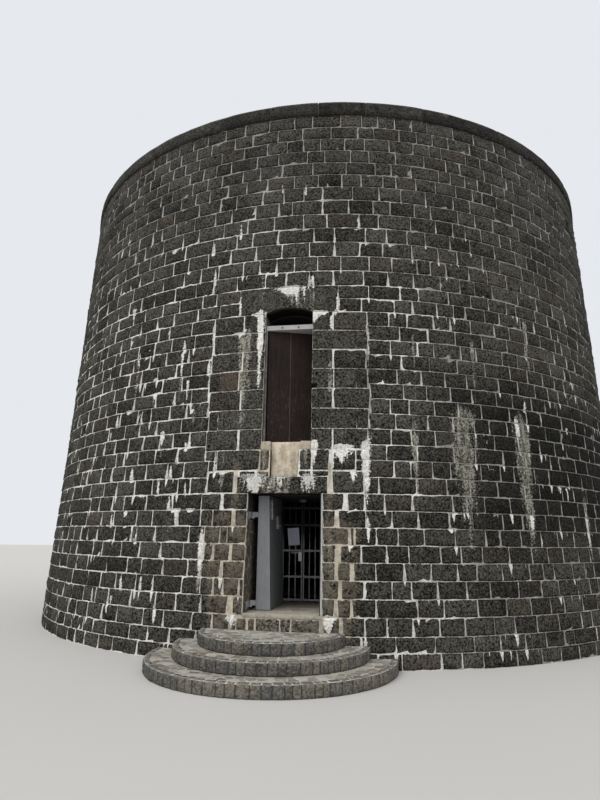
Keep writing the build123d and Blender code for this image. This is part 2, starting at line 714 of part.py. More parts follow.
def tower():
    """Every piece of the tower by name."""
    pieces = {}
    pieces.update(ground_wall())
    pieces.update(upper_wall())
    pieces.update(doorway_masonry())
    pieces.update(dressed_stones())
    pieces.update(parapet())
    pieces.update(round_steps())
    pieces["ground_floor"] = ground_floor()
    pieces["first_floor"] = first_floor()
    pieces["roof_vault"] = roof_vault()
    pieces["gun_platform"] = gun_platform()
    pieces["coping"] = coping()
    pieces["door_stop"] = door_stop()
    pieces["door_leaf"] = door_leaf()
    pieces["door_straps"] = Compound(children=[door_strap(foot) for foot in STRAP_FEET])
    pieces["door_pintles"] = Compound(children=[door_pintle(foot) for foot in STRAP_FEET])
    pieces["door_bolt"] = door_bolt()
    pieces["door_lock"] = door_lock()
    pieces["gate_leaf_left"] = gate_leaf(-1)
    pieces["gate_leaf_right"] = gate_leaf(1)
    pieces["gate_hinges"] = gate_hinges()
    pieces["gate_lock"] = gate_lock()
    pieces["notice_sheet"] = notice_sheet()
    pieces["passage_lamp"] = passage_lamp()
    pieces["upper_transom"] = upper_transom()
    pieces["upper_post"] = upper_post()
    pieces["upper_door"] = upper_door()
    return pieces


def main():
    os.makedirs("parts", exist_ok=True)
    for name, piece in tower().items():
        export_step(piece, f"parts/{name}.step")


main()
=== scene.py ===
import math

import bmesh
import bpy
import numpy as np
from bpy.props import FloatProperty, FloatVectorProperty, IntProperty, PointerProperty
from mathutils import Matrix, Vector, noise


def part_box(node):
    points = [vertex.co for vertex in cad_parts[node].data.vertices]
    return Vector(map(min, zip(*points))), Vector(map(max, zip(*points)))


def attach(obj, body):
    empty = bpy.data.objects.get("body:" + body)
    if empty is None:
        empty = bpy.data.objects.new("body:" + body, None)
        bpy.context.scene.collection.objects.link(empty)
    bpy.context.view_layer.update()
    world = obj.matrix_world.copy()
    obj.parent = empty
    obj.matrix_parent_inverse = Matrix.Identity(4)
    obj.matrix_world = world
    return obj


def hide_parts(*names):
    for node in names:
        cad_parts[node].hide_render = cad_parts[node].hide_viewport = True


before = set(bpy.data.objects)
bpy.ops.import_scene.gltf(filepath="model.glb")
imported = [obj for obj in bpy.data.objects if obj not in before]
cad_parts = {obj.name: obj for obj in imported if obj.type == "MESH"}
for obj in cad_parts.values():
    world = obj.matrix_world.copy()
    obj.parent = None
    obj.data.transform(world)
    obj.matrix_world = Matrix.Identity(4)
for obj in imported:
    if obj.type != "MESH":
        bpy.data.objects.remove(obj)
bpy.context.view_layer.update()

bl_info = {
    "name": "Round gun tower",
    "version": (1, 0, 0),
    "blender": (4, 5, 0),
    "location": "3D View > Sidebar > Tower",
    "description": "Lays the stones, steps, doors and gate of a small round gun tower",
    "category": "Add Mesh",
}

# Metres, on the tower's axis at ground level. An arc is measured along the wall at its foot,
# from the middle of the doorways, and is positive towards +X.

BASE_RADIUS = 6.1
BATTER = 0.049
UPPER_FLOOR = 2.71       # the upper wall's face begins here
UPPER_FULLNESS = 0.0105
PARAPET_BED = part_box("parapet_left")[0].z
PARAPET_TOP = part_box("parapet_left")[1].z
PARAPET_INNER = 4.5535
PLATFORM_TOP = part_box("gun_platform")[1].z
COPING_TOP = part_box("coping")[1].z
COPING_INNER = 4.4935
COPING_OUTER = 5.7705
ROOM_RADIUS = 3.6
DOOR_HALF = 0.533
DOOR_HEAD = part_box("door_lintel")[0].z
DOOR_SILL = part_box("threshold_slab")[1].z
LINTEL_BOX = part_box("door_lintel")
ARCH_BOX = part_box("upper_arch_stone")
SILL_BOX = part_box("upper_sill")
UPPER_HALF = 0.36
ARCH_RISE = 0.08
QUOIN_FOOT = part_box("upper_left_quoins")[0].z
QUOIN_HEIGHT = 0.3
QUOIN_COURSES = 7
SHEET_WIDTH, SHEET_HEIGHT = 0.186, 0.272
STEPS = ("bottom_step", "middle_step", "top_step")
ROOT = "tower"
AROUND = 2 * math.pi * BASE_RADIUS
LEAST_STONE = 0.09      # shorter runs of a course are left out
JOINT_STAGGER = 0.075   # least distance of an upright joint from those below
WELD = 1e-5             # vertices this near are one
SHARP_ANGLE = 0.6       # edges with a larger angle, in radians, are rounded
SHADE_HEIGHT = 2.98      # plaster above this is dark


def even_beds(low, high, count):
    """Heights of a number of equal courses, without the last bed."""
    return [low + (high - low) * index / count for index in range(count)]


BEDS = (
    [0.0, 0.20]
    + even_beds(0.40, 2.24, 8)
    + [2.24, 2.47]
    + even_beds(2.71, 4.96, 10)
    + even_beds(4.96, 5.39, 2)
    + even_beds(5.39, 7.13, 7)
    + even_beds(7.13, 8.50, 6)
    + [8.50]
)

# Stones that were read one by one beside the doorways: foot, head, and each stone's two ends
FRONT_ROWS = (
    (0.40, 0.63, ((-1.28, -0.98), (-0.965, -0.72), (0.56, 0.77), (0.81, 1.10))),
    (0.40, 0.595, ((-0.62, -0.48), (-0.455, -0.36), (-0.345, -0.02), (0.13, 0.51))),
    (0.63, 0.86, ((-1.16, -0.76), (-0.685, -0.543), (0.543, 0.705), (0.745, 0.915), (0.94, 1.25))),
    (0.86, 1.09, ((-1.195, -0.995), (-0.835, -0.615), (-0.60, -0.543), (0.543, 0.76), (0.80, 1.10))),
    (1.09, 1.32, ((-1.19, -0.90), (-0.865, -0.543), (0.543, 0.71), (0.75, 0.915), (0.97, 1.26))),
    (1.32, 1.55, ((-1.17, -1.04), (-1.015, -0.775), (-0.735, -0.543), (0.543, 0.72), (0.79, 1.067))),
    (1.55, 1.78, ((-1.185, -0.935), (-0.825, -0.543), (0.543, 0.90), (0.925, 0.97), (0.995, 1.28))),
    (1.78, 2.01, ((-1.27, -1.075), (-1.063, -0.77), (-0.718, -0.543), (0.543, 0.717), (0.765, 1.14))),
    (2.01, 2.24, ((-1.27, -0.955), (-0.925, -0.543), (0.543, 0.836), (0.893, 1.127))),
    (2.25, 2.555, ((-1.20, -0.775), (0.68, 1.127))),
    (2.475, 2.555, ((-0.695, -0.445), (-0.42, -0.245), (0.195, 0.375), (0.389, 0.639))),
    (2.565, 2.86, ((-1.06, -0.39), (-0.378, -0.245), (0.205, 0.375), (0.389, 0.63), (0.67, 1.008))),
    (2.86, 3.16, ((-1.265, -0.742), (0.692, 1.19))),
    (3.16, 3.46, ((-1.245, -1.075), (1.022, 1.21))),
    (3.46, 3.76, ((-1.265, -0.742), (0.695, 1.235))),
    (3.76, 4.06, ((-1.285, -1.072), (1.028, 1.205))),
    (4.06, 4.36, ((-1.265, -0.742), (0.695, 1.19))),
    (4.36, 4.66, ((-1.24, -1.075), (1.022, 1.22))),
    (4.66, 4.96, ((-1.255, -0.742), (0.695, 1.21))),
)

# Lime that has run down the wall, dirtier runs, and repairs in cream render.
# Each is an arc, half width, height at the wide end, height at the tip, and strength.
WHITE_RUNS = (
    (-2.63, 0.05, 4.05, 3.84, 0.6), (-2.38, 0.055, 4.09, 3.68, 1.0), (-2.2, 0.03, 4.07, 3.9, 0.9),
    (-1.83, 0.038, 4.44, 3.94, 0.8), (-1.68, 0.034, 3.98, 3.68, 0.9), (-1.31, 0.036, 4.05, 4.38, 0.9),
    (-2.96, 0.08, 3.63, 3.55, 0.9), (-3.25, 0.045, 3.38, 3.64, 1.0), (-2.61, 0.036, 3.38, 3.64, 0.9),
    (-3.42, 0.04, 3.3, 3.12, 0.7), (-2.495, 0.024, 3.2, 2.98, 0.8), (-2.1, 0.055, 3.2, 2.93, 1.0),
    (-2.29, 0.026, 3.16, 2.88, 0.9), (-1.63, 0.036, 2.88, 3.02, 1.0), (-1.44, 0.04, 3.31, 3.12, 0.6),
    (-1.09, 0.024, 2.5, 2.97, 1.0), (-0.95, 0.12, 2.56, 2.5, 0.9), (-0.96, 0.06, 2.53, 2.38, 0.6),
    (-1.865, 0.035, 2.48, 2.7, 1.0), (-2.69, 0.06, 2.45, 2.7, 1.0), (-1.46, 0.026, 2.48, 2.7, 0.9),
    (-1.57, 0.03, 2.24, 2.47, 0.9), (-2.08, 0.03, 2.24, 2.47, 0.9), (-1.85, 0.035, 2.01, 2.24, 1.0),
    (-1.37, 0.03, 2.02, 2.24, 1.0), (-2.735, 0.05, 2.01, 1.89, 1.0), (-1.72, 0.11, 2.03, 1.95, 1.0),
    (-1.7, 0.034, 2.02, 1.76, 1.0), (-1.595, 0.05, 2.02, 1.83, 1.0), (-1.45, 0.1, 2.03, 1.97, 1.0),
    (-3.08, 0.026, 1.77, 2.00, 1.0), (-2.44, 0.045, 1.52, 1.78, 0.8), (-1.22, 0.055, 1.5, 1.78, 1.0),
    (-1.22, 0.055, 1.52, 1.08, 1.0), (-1.03, 0.024, 1.33, 1.47, 1.0), (-0.72, 0.05, 0.62, 0.85, 0.6),
    (-0.68, 0.085, 0.645, 0.42, 1.0), (-1.92, 0.036, 0.62, 0.4, 1.0), (-2.85, 0.04, 0.75, 0.56, 0.6),
    (-2.66, 0.035, 0.86, 1.08, 0.9), (-2.24, 0.03, 0.86, 1.08, 0.9), (-3.03, 0.03, 0.86, 1.08, 0.9),
    (-3.29, 0.035, 1.09, 1.32, 0.8), (-3.35, 0.035, 0.64, 0.86, 0.8), (-4.63, 0.06, 2.69, 2.93, 0.7),
    (-4.96, 0.06, 1.7, 1.53, 0.6), (-4.48, 0.05, 0.42, 0.14, 0.6), (0.41, 0.058, 2.98, 2.6, 1.0),
    (0.81, 0.18, 2.92, 2.66, 1.0), (0.68, 0.045, 2.9, 2.52, 0.9), (0.96, 0.05, 2.9, 2.6, 1.0),
    (0.975, 0.055, 2.555, 2.39, 1.0), (1.165, 0.075, 2.92, 3.17, 1.0), (1.165, 0.078, 2.94, 2.03, 1.0),
    (1.17, 0.035, 1.76, 2.00, 1.0), (1.17, 0.035, 1.78, 1.57, 1.0), (2.06, 0.03, 1.97, 2.11, 0.7),
    (2.36, 0.05, 1.78, 1.72, 0.8), (3.68, 0.06, 3.42, 2.9, 0.9), (3.67, 0.07, 3.6, 3.53, 0.7),
    (3.78, 0.045, 1.99, 1.64, 1.0), (4.52, 0.035, 2.46, 2.36, 1.0), (4.7, 0.035, 2.43, 2.16, 1.0),
    (4.79, 0.03, 2.47, 2.41, 0.8), (4.95, 0.04, 3.43, 3.33, 1.0), (5.2, 0.06, 1.75, 2.5, 0.6),
    (5.2, 0.08, 1.8, 1.5, 0.7), (3.9, 0.045, 3.57, 3.84, 0.8), (3.63, 0.03, 3.85, 4.02, 0.8),
    (0.02, 0.29, 5.4, 5.25, 1.0), (-0.03, 0.035, 5.39, 5.00, 0.6), (0.1, 0.055, 5.39, 5.03, 0.8),
    (0.23, 0.04, 5.39, 5.06, 0.8), (0.37, 0.042, 5.36, 5.62, 1.0), (-0.82, 0.032, 4.95, 5.39, 1.0),
    (0.765, 0.032, 4.9, 5.37, 1.0), (0.72, 0.06, 4.99, 4.88, 0.7), (-0.458, 0.064, 4.985, 3.6, 1.0),
    (-0.5, 0.15, 4.975, 4.915, 1.0), (-0.705, 0.035, 4.66, 4.89, 0.8), (-0.8, 0.13, 4.69, 4.6, 0.7),
    (0.41, 0.075, 4.97, 4.78, 1.0), (0.5, 0.15, 4.97, 4.89, 1.0), (0.667, 0.042, 4.9, 4.56, 1.0),
    (1.21, 0.04, 4.6, 4.9, 0.6), (-1.81, 0.045, 4.45, 4.7, 0.8), (-2.83, 0.05, 4.4, 4.67, 0.6),
    (-1.26, 0.03, 4.6, 4.98, 0.8), (-3.14, 0.09, 5.47, 5.26, 0.7), (-1.86, 0.06, 5.89, 5.82, 0.9),
    (-1.31, 0.035, 5.54, 5.86, 0.9), (-1.38, 0.036, 6.09, 6.34, 1.0), (-0.88, 0.036, 6.3, 6.6, 0.9),
    (-0.17, 0.04, 7.06, 7.3, 0.5), (0.23, 0.04, 7.00, 7.28, 0.5), (0.6, 0.035, 7.07, 7.3, 0.5),
    (-0.23, 0.03, 5.59, 5.84, 0.8), (0.01, 0.04, 5.64, 5.58, 0.9), (-3.83, 0.035, 6.7, 6.96, 0.8),
    (-3.6, 0.12, 6.95, 6.9, 0.7), (-0.44, 0.36, 2.5, 2.06, 0.42), (-0.08, 0.22, 2.5, 2.16, 0.22),
    (0.34, 0.26, 2.5, 2.1, 0.34), (0.62, 0.13, 0.645, 0.43, 0.9), (1.1, 0.05, 0.2, 0.44, 0.7),
)
GREY_RUNS = (
    (-2.83, 0.06, 4.45, 3.45, 0.6), (-0.7, 0.118, 4.68, 3.05, 0.95), (0.648, 0.052, 3.95, 4.34, 0.8),
    (0.648, 0.052, 3.97, 3.45, 0.8), (1.22, 0.055, 4.62, 3.7, 0.6), (1.887, 0.066, 3.05, 3.4, 0.8),
    (1.887, 0.068, 3.07, 1.95, 0.8), (2.67, 0.3, 3.44, 1.25, 0.75), (2.87, 0.05, 2.3, 1.9, 0.8),
    (3.75, 0.19, 3.42, 1.25, 0.95), (2.93, 0.06, 4.6, 3.55, 0.7), (1.93, 0.04, 4.6, 3.65, 0.5),
    (-1.52, 0.05, 3.5, 3.05, 0.4), (-2.1, 0.05, 2.96, 2.65, 0.5), (-1.83, 0.05, 4.00, 3.4, 0.4),
    (-0.06, 0.24, 2.48, 1.9, 0.9), (0.1, 0.26, 5.4, 4.75, 0.4), (-1.22, 0.06, 1.15, 0.7, 0.5),
    (0.36, 0.065, 5.46, 4.4, 0.55), (-0.44, 0.055, 5.6, 4.4, 0.45), (-0.96, 0.07, 2.5, 2.25, 0.6),
    (-0.31, 0.06, 2.86, 2.4, 0.7), (0.29, 0.06, 2.86, 2.4, 0.5), (4.1, 0.08, 5.1, 3.9, 0.6),
    (-4.2, 0.08, 5.1, 4.1, 0.5), (5.22, 0.1, 2.3, 1.1, 0.6), (0.0, 0.62, 0.61, 0.2, 0.22),
    (0.66, 0.2, 1.62, 0.4, 0.18),
)
CREAM_PATCHES = (
    (-0.8, 0.46, 1.85, -0.6, 1.0), (0.72, 0.4, 1.8, -0.6, 1.0), (0.0, 0.9, 0.66, -0.5, 1.0),
    (-0.74, 0.09, 2.64, 1.5, 0.6), (0.64, 0.08, 2.64, 1.6, 0.6), (-0.31, 0.12, 2.92, 2.00, 1.0),
)


def fullness(height):
    """How far the upper wall's stones stand out from the solid: its faces lean in a little less."""
    return np.maximum(height - UPPER_FLOOR, 0.0) * UPPER_FULLNESS


def face_radius(height):
    """Outer radius of the finished wall at a height."""
    return BASE_RADIUS - BATTER * height + fullness(height)


def arc_of(x, height):
    """Arc at the wall's foot of a line x metres beside the doorways' middle."""
    return BASE_RADIUS * math.asin(x / face_radius(height))


def along_run(mark, arc, height):
    """Where points lie on a run: across it in half widths, down it as a share of its length, and its strength."""
    at, half_width, wide_end, tip, strength = mark
    return (arc - at) / half_width, (wide_end - height) / (wide_end - tip), strength + 0 * arc


def run_value(across, down):
    """1 in the middle of a run's wide end, and 0 along its outline, which narrows towards the tip."""
    return 1 - np.abs(across) - np.maximum(down, 0) ** 2 - 12 * np.maximum(-down, 0)


def strongest_run(marks, arc, height):
    """The strongest of several runs at each point, in the form that along_run gives."""
    best, power = np.full(np.shape(arc), -3.0), np.zeros(np.shape(arc))
    for mark in marks:
        across, down, strength = along_run(mark, arc, height)
        value = run_value(across, down)
        power = np.where(value > best, strength, power)
        best = np.maximum(best, value)
    return 1 - best, 0 * best, power


def runs_on_stones(marks, arc, height, count):
    """For each stone, a row of points, the runs that cover most of it, in the form that along_run gives."""
    scores = np.stack([
        np.maximum(run_value(*along_run(mark, arc, height)[:2]) + 0.1, 0).sum(1) * mark[4] for mark in marks
    ])
    order = np.argsort(-scores, axis=0)[:count]
    found = []
    for chosen in order:
        table = np.array(marks)[chosen]
        mark = [table[:, index, None] for index in range(5)]
        across, down, strength = along_run(mark, arc, height)
        on = np.take_along_axis(scores, chosen[None], 0)[0][:, None] > 0
        found.append((np.where(on, across, 9.0), np.where(on, down, 9.0), np.where(on, strength, 0.0)))
    return found


def length(label, description, default, **limits):
    return FloatProperty(name=label, description=description, default=default, unit="LENGTH", **limits)


def tint(label, description, *default):
    return FloatVectorProperty(name=label, description=description, default=default, size=4, subtype="COLOR")


class TowerMasonry(bpy.types.PropertyGroup):
    """Sizes of the stones and their joints, and the start of the random draws"""

    stone_length: length("Stone length", "Usual length of a wall stone", 0.40, min=0.2)
    joint: length("Upright joint", "Least width of the wall's upright joints", 0.008)
    bed_joint: length("Bed joint", "Height of the wall's level joints", 0.005)
    mortar_setback: length("Mortar setback", "How far the mortar lies behind the stones", 0.010)
    sett_length: length("Sett length", "Usual length of a sett in the steps", 0.125)
    slab_length: length("Slab length", "Usual size of the paving on the steps", 0.12)
    flag_length: length("Flag length", "Usual length of a flag on the platform", 0.62)
    cap_stones: IntProperty(name="Cap stones", description="Number of stones in the coping", default=42, min=12)
    seed: IntProperty(name="Seed", description="Start of the random draws", default=11)


class TowerColours(bpy.types.PropertyGroup):
    """Colours of the stones, lime, paint and floor"""

    # The dark basalt also serves as painted shade: on the wall's right side, at the stones' edges and in the upper
    # doorway's sides.
    basalt_dark_and_shade: tint("Dark basalt", "Pits and wet-looking stones", 0.005, 0.005, 0.0045, 1)
    basalt_light: tint("Light basalt", "Weathered faces", 0.116, 0.109, 0.090, 1)
    basalt_brown: tint("Brown basalt", "Odd rusty stones", 0.105, 0.080, 0.062, 1)
    lime: tint("Lime", "White lime runs", 0.82, 0.80, 0.74, 1)
    mortar: tint("Mortar", "Lime mortar in the joints", 0.72, 0.70, 0.635, 1)
    cream: tint("Cream render", "Repairs round the doors", 0.52, 0.44, 0.33, 1)
    door_paint: tint("Door paint", "Blue-grey paint", 0.235, 0.238, 0.250, 1)
    floor: tint("Floor", "Plain studio floor", 0.52, 0.50, 0.47, 1)


class Value:
    """What a node gives. Sums and products of values add Math nodes to their finish."""

    def __init__(self, finish, socket):
        self.finish = finish
        self.socket = socket

    def math(self, operation, *others):
        return self.finish.add("ShaderNodeMath", {"operation": operation}, (self, *others))

    def __add__(self, other):
        return self.math("ADD", other)

    __radd__ = __add__

    def __sub__(self, other):
        return self.math("SUBTRACT", other)

    def __rsub__(self, other):
        return self.finish.add("ShaderNodeMath", {"operation": "SUBTRACT"}, (other, self))

    def __mul__(self, other):
        return self.math("MULTIPLY", other)

    __rmul__ = __mul__

    def size(self):
        return self.math("ABSOLUTE")

    def least(self, other):
        return self.math("MINIMUM", other)

    def most(self, other):
        return self.math("MAXIMUM", other)

    def ramp(self, low, high):
        """0 below low, 1 above high, and smooth between them; low may be the larger."""
        kind = {"interpolation_type": "SMOOTHSTEP"}
        return self.finish.add("ShaderNodeMapRange", kind, (self, low, high, 0.0, 1.0))


class Finish:
    """A procedural material on the object's own coordinates, in metres."""

    def __init__(self, name):
        self.material = bpy.data.materials.new(name)
        self.material.use_nodes = True
        self.tree = self.material.node_tree
        self.tree.nodes.clear()
        self.place = self.add("ShaderNodeTexCoord", {}, (), "Object")
        self.x, self.y, self.z = self.parts(self.place)

    def add(self, kind, settings=None, sockets=(), output=0):
        """A node of a type, with its settings made first and then its sockets filled or linked."""
        node = self.tree.nodes.new(kind)
        for key, value in (settings or {}).items():
            setattr(node, key, value)
        pairs = sockets.items() if isinstance(sockets, dict) else enumerate(sockets)
        for key, value in pairs:
            if isinstance(value, Value):
                self.tree.links.new(value.socket, node.inputs[key])
            else:
                node.inputs[key].default_value = value
        return Value(self, node.outputs[output])

    def parts(self, vector):
        node = self.add("ShaderNodeSeparateXYZ", {}, (vector,)).socket.node
        return [Value(self, socket) for socket in node.outputs]

    def attribute(self, name):
        return self.parts(self.add("ShaderNodeAttribute", {"attribute_name": name}, (), "Vector"))

    def stretched(self, factors):
        return self.add("ShaderNodeVectorMath", {"operation": "MULTIPLY"}, (self.place, factors))

    def noise(self, scale, detail=3.0, roughness=0.6, stretch=None, distortion=0.0, output=0):
        place = self.stretched(stretch) if stretch else self.place
        sockets = {
            "Vector": place, "Scale": scale, "Detail": detail, "Roughness": roughness, "Distortion": distortion,
        }
        return self.add("ShaderNodeTexNoise", {}, sockets, output)

    def cells(self, scale, feature="F1", place=None, output="Distance"):
        sockets = {"Vector": place or self.place, "Scale": scale}
        return self.add("ShaderNodeTexVoronoi", {"feature": feature}, sockets, output)

    def mix(self, factor, first, second):
        return self.add("ShaderNodeMix", {"data_type": "RGBA"}, {0: factor, 6: first, 7: second}, 2)

    def field(self, marks):
        """The strongest of several patches on the unrolled wall: 1 at a patch's head, less at its sides and foot."""
        arc = self.x.math("ARCTAN2", self.y * -1.0) * BASE_RADIUS
        spot = self.add("ShaderNodeCombineXYZ", {}, (arc, self.z, self.z))
        strongest = None
        for at, half_width, head, foot, strength in marks:
            fall = head - foot
            grow = (1 / half_width, -1 / fall, 14 / fall)
            shift = (-at / half_width, head / fall, -14 * head / fall)
            moved = self.add("ShaderNodeVectorMath", {"operation": "MULTIPLY_ADD"}, (spot, grow, shift))
            aside, down, over = self.parts(moved)
            mark = strength - aside.size().most(down).most(over)
            strongest = mark if strongest is None else strongest.most(mark)
        return strongest

    def surface(self, base, roughness, height=None, specular=0.5, metallic=0.0):
        """Ends the finish in one shader. Height is the relief in metres."""
        sockets = {
            "Base Color": base, "Roughness": roughness, "Specular IOR Level": specular, "Metallic": metallic,
        }
        if height is not None:
            relief = {"Strength": 1.0, "Distance": 1.0, "Height": height}
            sockets["Normal"] = self.add("ShaderNodeBump", {}, relief, "Normal")
        shader = self.add("ShaderNodeBsdfPrincipled", {}, sockets, "BSDF")
        end = self.tree.nodes.new("ShaderNodeOutputMaterial")
        self.tree.links.new(shader.socket, end.inputs["Surface"])
        return self.material


def shade(base, factor):
    """A colour made lighter or darker."""
    return tuple(channel * factor for channel in base[:3]) + (1.0,)


def colour(name, factor=1.0):
    """One of the panel's colours, made lighter or darker."""
    return shade(getattr(bpy.context.scene.tower_colours, name), factor)


def drawn_out(axis, share):
    """Factors that draw a pattern out along one axis."""
    return tuple(share if index == axis else 1.0 for index in range(3))


def run_mask(finish, name, rag, soft):
    """How thick a run lies on the stone, from its attribute, with a ragged edge drawn out downwards."""
    across, down, strength = finish.attribute(name)
    below, over = down.most(0.0), (down * -1.0).most(0.0)
    thick = strength * 0.8 + 0.2 - across.size() - below * below - over * 12.0 + rag
    return thick.ramp(0.0, soft) * (strength * 0.4 + 0.6).least(strength * 6.0)


def basalt(name, lightness=1.0, pitting=1.0, marked=True, shaded_reveals=False, trodden=False):
    """Near-black pitted basalt, with lime smeared from its joints where the stone's edges are marked."""
    f = Finish(name)
    tone, brown, wear = f.attribute("stone")
    cloud = f.noise(1.1, 3.0)
    patch = f.noise(9.0, 4.0, 0.7)
    lumps = f.noise(36.0, 3.0, 0.7)
    grain = f.noise(64.0, 3.0, 0.8)
    dark, light = colour("basalt_dark_and_shade", lightness), colour("basalt_light", lightness)
    level = tone * 0.30 + cloud * 0.60 + patch * 0.8 + lumps * 1.8 - 1.42
    base = f.mix(level.ramp(-0.05, 0.95), shade(light, 0.16), shade(light, 1.12))
    base = f.mix(brown, base, colour("basalt_brown", lightness))
    aged = f.z.ramp(4.6, 8.0) * cloud.ramp(0.35, 0.65)
    base = f.mix(aged * 0.34, base, (0.100, 0.099, 0.096, 1))
    # Painted shade: the wall is darkened on its right-hand side, from about 1.2 to 4.5 m up.
    right_side_shade = f.x.ramp(1.6, 3.2) * f.z.ramp(1.2, 2.1) * f.z.ramp(4.5, 3.4)
    base = f.mix(right_side_shade * 0.75, base, dark)
    # Dark pits in the stone, partly its own colour and partly painted shade of its rough relief.
    pits_and_shade = (lumps * 0.80 + grain * 0.35).ramp(0.560, 0.470) * pitting
    base = f.mix(pits_and_shade * 0.95, base, dark)
    # Pale specks where the grain is light on the crowns of the lumps: partly the stone's grain, partly painted
    # highlight.
    base = f.mix(grain.ramp(0.55, 0.70) * lumps.ramp(0.45, 0.62) * 0.6, base, shade(light, 2.1))
    height = patch * 0.030 + lumps * 0.022 + grain * 0.004
    if marked:
        across, up, fan = f.attribute("joint")
        side, below, run = f.attribute("drip")
        ragged = f.noise(30.0, 4.0, 0.75)
        streaks = f.noise(17.0, 3.0, 0.6, stretch=drawn_out(2, 0.16))
        edge = across.least(up).least(below)
        # Painted shade: each stone darkens towards its edges, as if shaded by its arris beside the joints.
        base = f.mix((edge + lumps * 0.02).ramp(0.036, 0.010) * 0.92, base, dark)
        rag = (ragged - 0.5) * 1.1 + (streaks - 0.5) * 1.7 + (lumps - 0.5) * 1.6
        white = run_mask(f, "white_run", rag, 0.30).most(run_mask(f, "next_white_run", rag, 0.30))
        grey = run_mask(f, "grey_run", rag * 0.65, 0.4)
        cream = (f.attribute("cream")[0] + rag * 0.5).ramp(0.0, 0.5)
        low = (f.z.ramp(8.0, 4.6) * 0.75 + 0.25) * (1.0 - f.x.ramp(0.8, 3.0) * 0.55)
        smear = (edge - (ragged - 0.44) * 0.07 * low * wear).ramp(0.004, 0.0)
        fans = (across - (0.21 - up) * 0.22 * fan * low * (ragged + 0.15)).ramp(0.005, 0.0)
        reach = (0.16 * run + 0.01 - below).ramp(0.0, 0.04)
        drips = (side.size() - (0.17 * run - below).most(0.0) * 0.30 * (ragged + 0.2)).ramp(0.005, 0.0) * reach
        wash = streaks.ramp(0.60, 0.76) * cloud.ramp(0.45, 0.62) * low * 0.35
        lime = white.most(fans * 0.9).most(drips * 0.9).most(smear * 0.5) * (1.0 - pits_and_shade * 0.35)
        washed = grey.most(wash) * lumps.ramp(0.28, 0.52)
        mottle = (lumps + grain) * 0.5 + (streaks - 0.5) * 0.5
        tan = f.mix(mottle.ramp(0.42, 0.60), (0.085, 0.080, 0.064, 1), (0.42, 0.40, 0.335, 1))
        base = f.mix(washed * 0.90, base, tan)
        repair = cream * (0.010 - edge + (ragged - 0.5) * 0.16 * wear).ramp(0.0, 0.02)
        base = f.mix(cream * 0.42 * patch.ramp(0.33, 0.56), base, colour("cream", 0.45))
        render = f.mix(ragged.ramp(0.4, 0.6), colour("cream", 0.45), colour("cream"))
        chalk = f.mix(ragged.ramp(0.36, 0.60), colour("lime", 0.74), colour("lime"))
        base = f.mix(lime, f.mix(repair * 0.75, base, render), chalk)
        height = height * (1.0 - lime * 0.6) + lime * 0.006
    # Painted shade: faces set back more than about a centimetre, the sides and undersides in the doorways, are
    # darkened: near-black in the upper jambs and dark brown elsewhere, with a brown band a few centimetres into the
    # arch's soffit.
    if shaded_reveals:
        out = f.add("ShaderNodeVectorMath", {"operation": "LENGTH"}, (f.stretched((1.0, 1.0, 0.0)),), "Value")
        depth = BASE_RADIUS - f.z * BATTER + (f.z - UPPER_FLOOR).most(0.0) * UPPER_FULLNESS - out
        soffit = f.z.ramp(4.90, 4.95)
        jamb = f.z.ramp(2.6, 2.8) * (1.0 - soffit)
        lining = f.mix(patch.ramp(0.3, 0.7), (0.050, 0.042, 0.034, 1), (0.125, 0.108, 0.080, 1))
        base = f.mix(depth.ramp(0.006, 0.016) * 0.95, base, f.mix(jamb, dark, lining))
        band = depth.ramp(0.022, 0.030) * depth.ramp(0.075, 0.065) * soffit
        base = f.mix(band * 0.8, base, (0.060, 0.046, 0.038, 1))
    if trodden:
        up = f.parts(f.add("ShaderNodeNewGeometry", {}, (), "Normal"))[2].ramp(0.25, 0.75)
        dust = f.mix(lumps.ramp(0.40, 0.62), (0.13, 0.12, 0.10, 1), (0.38, 0.36, 0.31, 1))
        own = f.mix(tone, (0.128, 0.130, 0.132, 1), (0.165, 0.138, 0.108, 1))
        base = f.mix(0.45, f.mix(up * 0.75, base, dust), own)
    return f.surface(base, 0.95, height, specular=0.06)


def mortar_finish():
    """Lime mortar, whiter low down and near the runs, dirty and thin near the top; thin on the right-hand side, and
    darker there with dirt and painted shade.
    """
    f = Finish("lime_mortar")
    ragged = f.noise(30.0, 4.0, 0.75)
    streaks = f.noise(14.0, 4.0, 0.65, stretch=drawn_out(2, 0.14))
    cloud = f.noise(1.3, 3.0)
    spot = f.noise(7.0, 3.0, 0.7)
    fine = f.noise(150.0, 2.0)
    cream = (f.field(CREAM_PATCHES) + (ragged - 0.5) * 0.8 + (streaks - 0.5) * 0.8).ramp(0.0, 0.5)
    base = f.mix(ragged.ramp(0.35, 0.60), colour("mortar", 0.66), colour("mortar", 1.10))
    # Dirt darkens the mortar near the top and in clouds; the terms that grow towards the right-hand side, with
    # shaded, are painted shade.
    dirt = f.z.ramp(4.6, 8.4) * 0.70 + f.x.ramp(0.6, 3.6) * 0.62 + cloud * 0.7 + spot * 0.7 - 0.62
    uneven = (f.noise(2.4, 2.0, 0.5) - 0.5) * f.x.ramp(0.6, 1.6)
    beside_quoins = f.x.ramp(1.10, 1.16) * f.x.ramp(1.32, 1.24) * f.z.ramp(2.9, 3.1) * f.z.ramp(4.9, 4.7)
    shaded = f.x.ramp(1.6, 3.0) * f.z.ramp(1.2, 2.1) * f.z.ramp(4.9, 3.9)
    dirt = dirt + uneven * 1.4 + beside_quoins * 0.45 + f.z.ramp(7.1, 8.1) * 0.75 + shaded * 0.42
    base = f.mix(dirt.ramp(0.10, 0.70) * 0.80, base, colour("mortar", 0.20))
    render = f.mix(spot.ramp(0.35, 0.65), colour("cream", 0.50), colour("cream", 1.05))
    base = f.mix(cream * 0.85, base, render)
    return f.surface(base, 0.95, ragged * 0.008 + fine * 0.0008, specular=0.1)


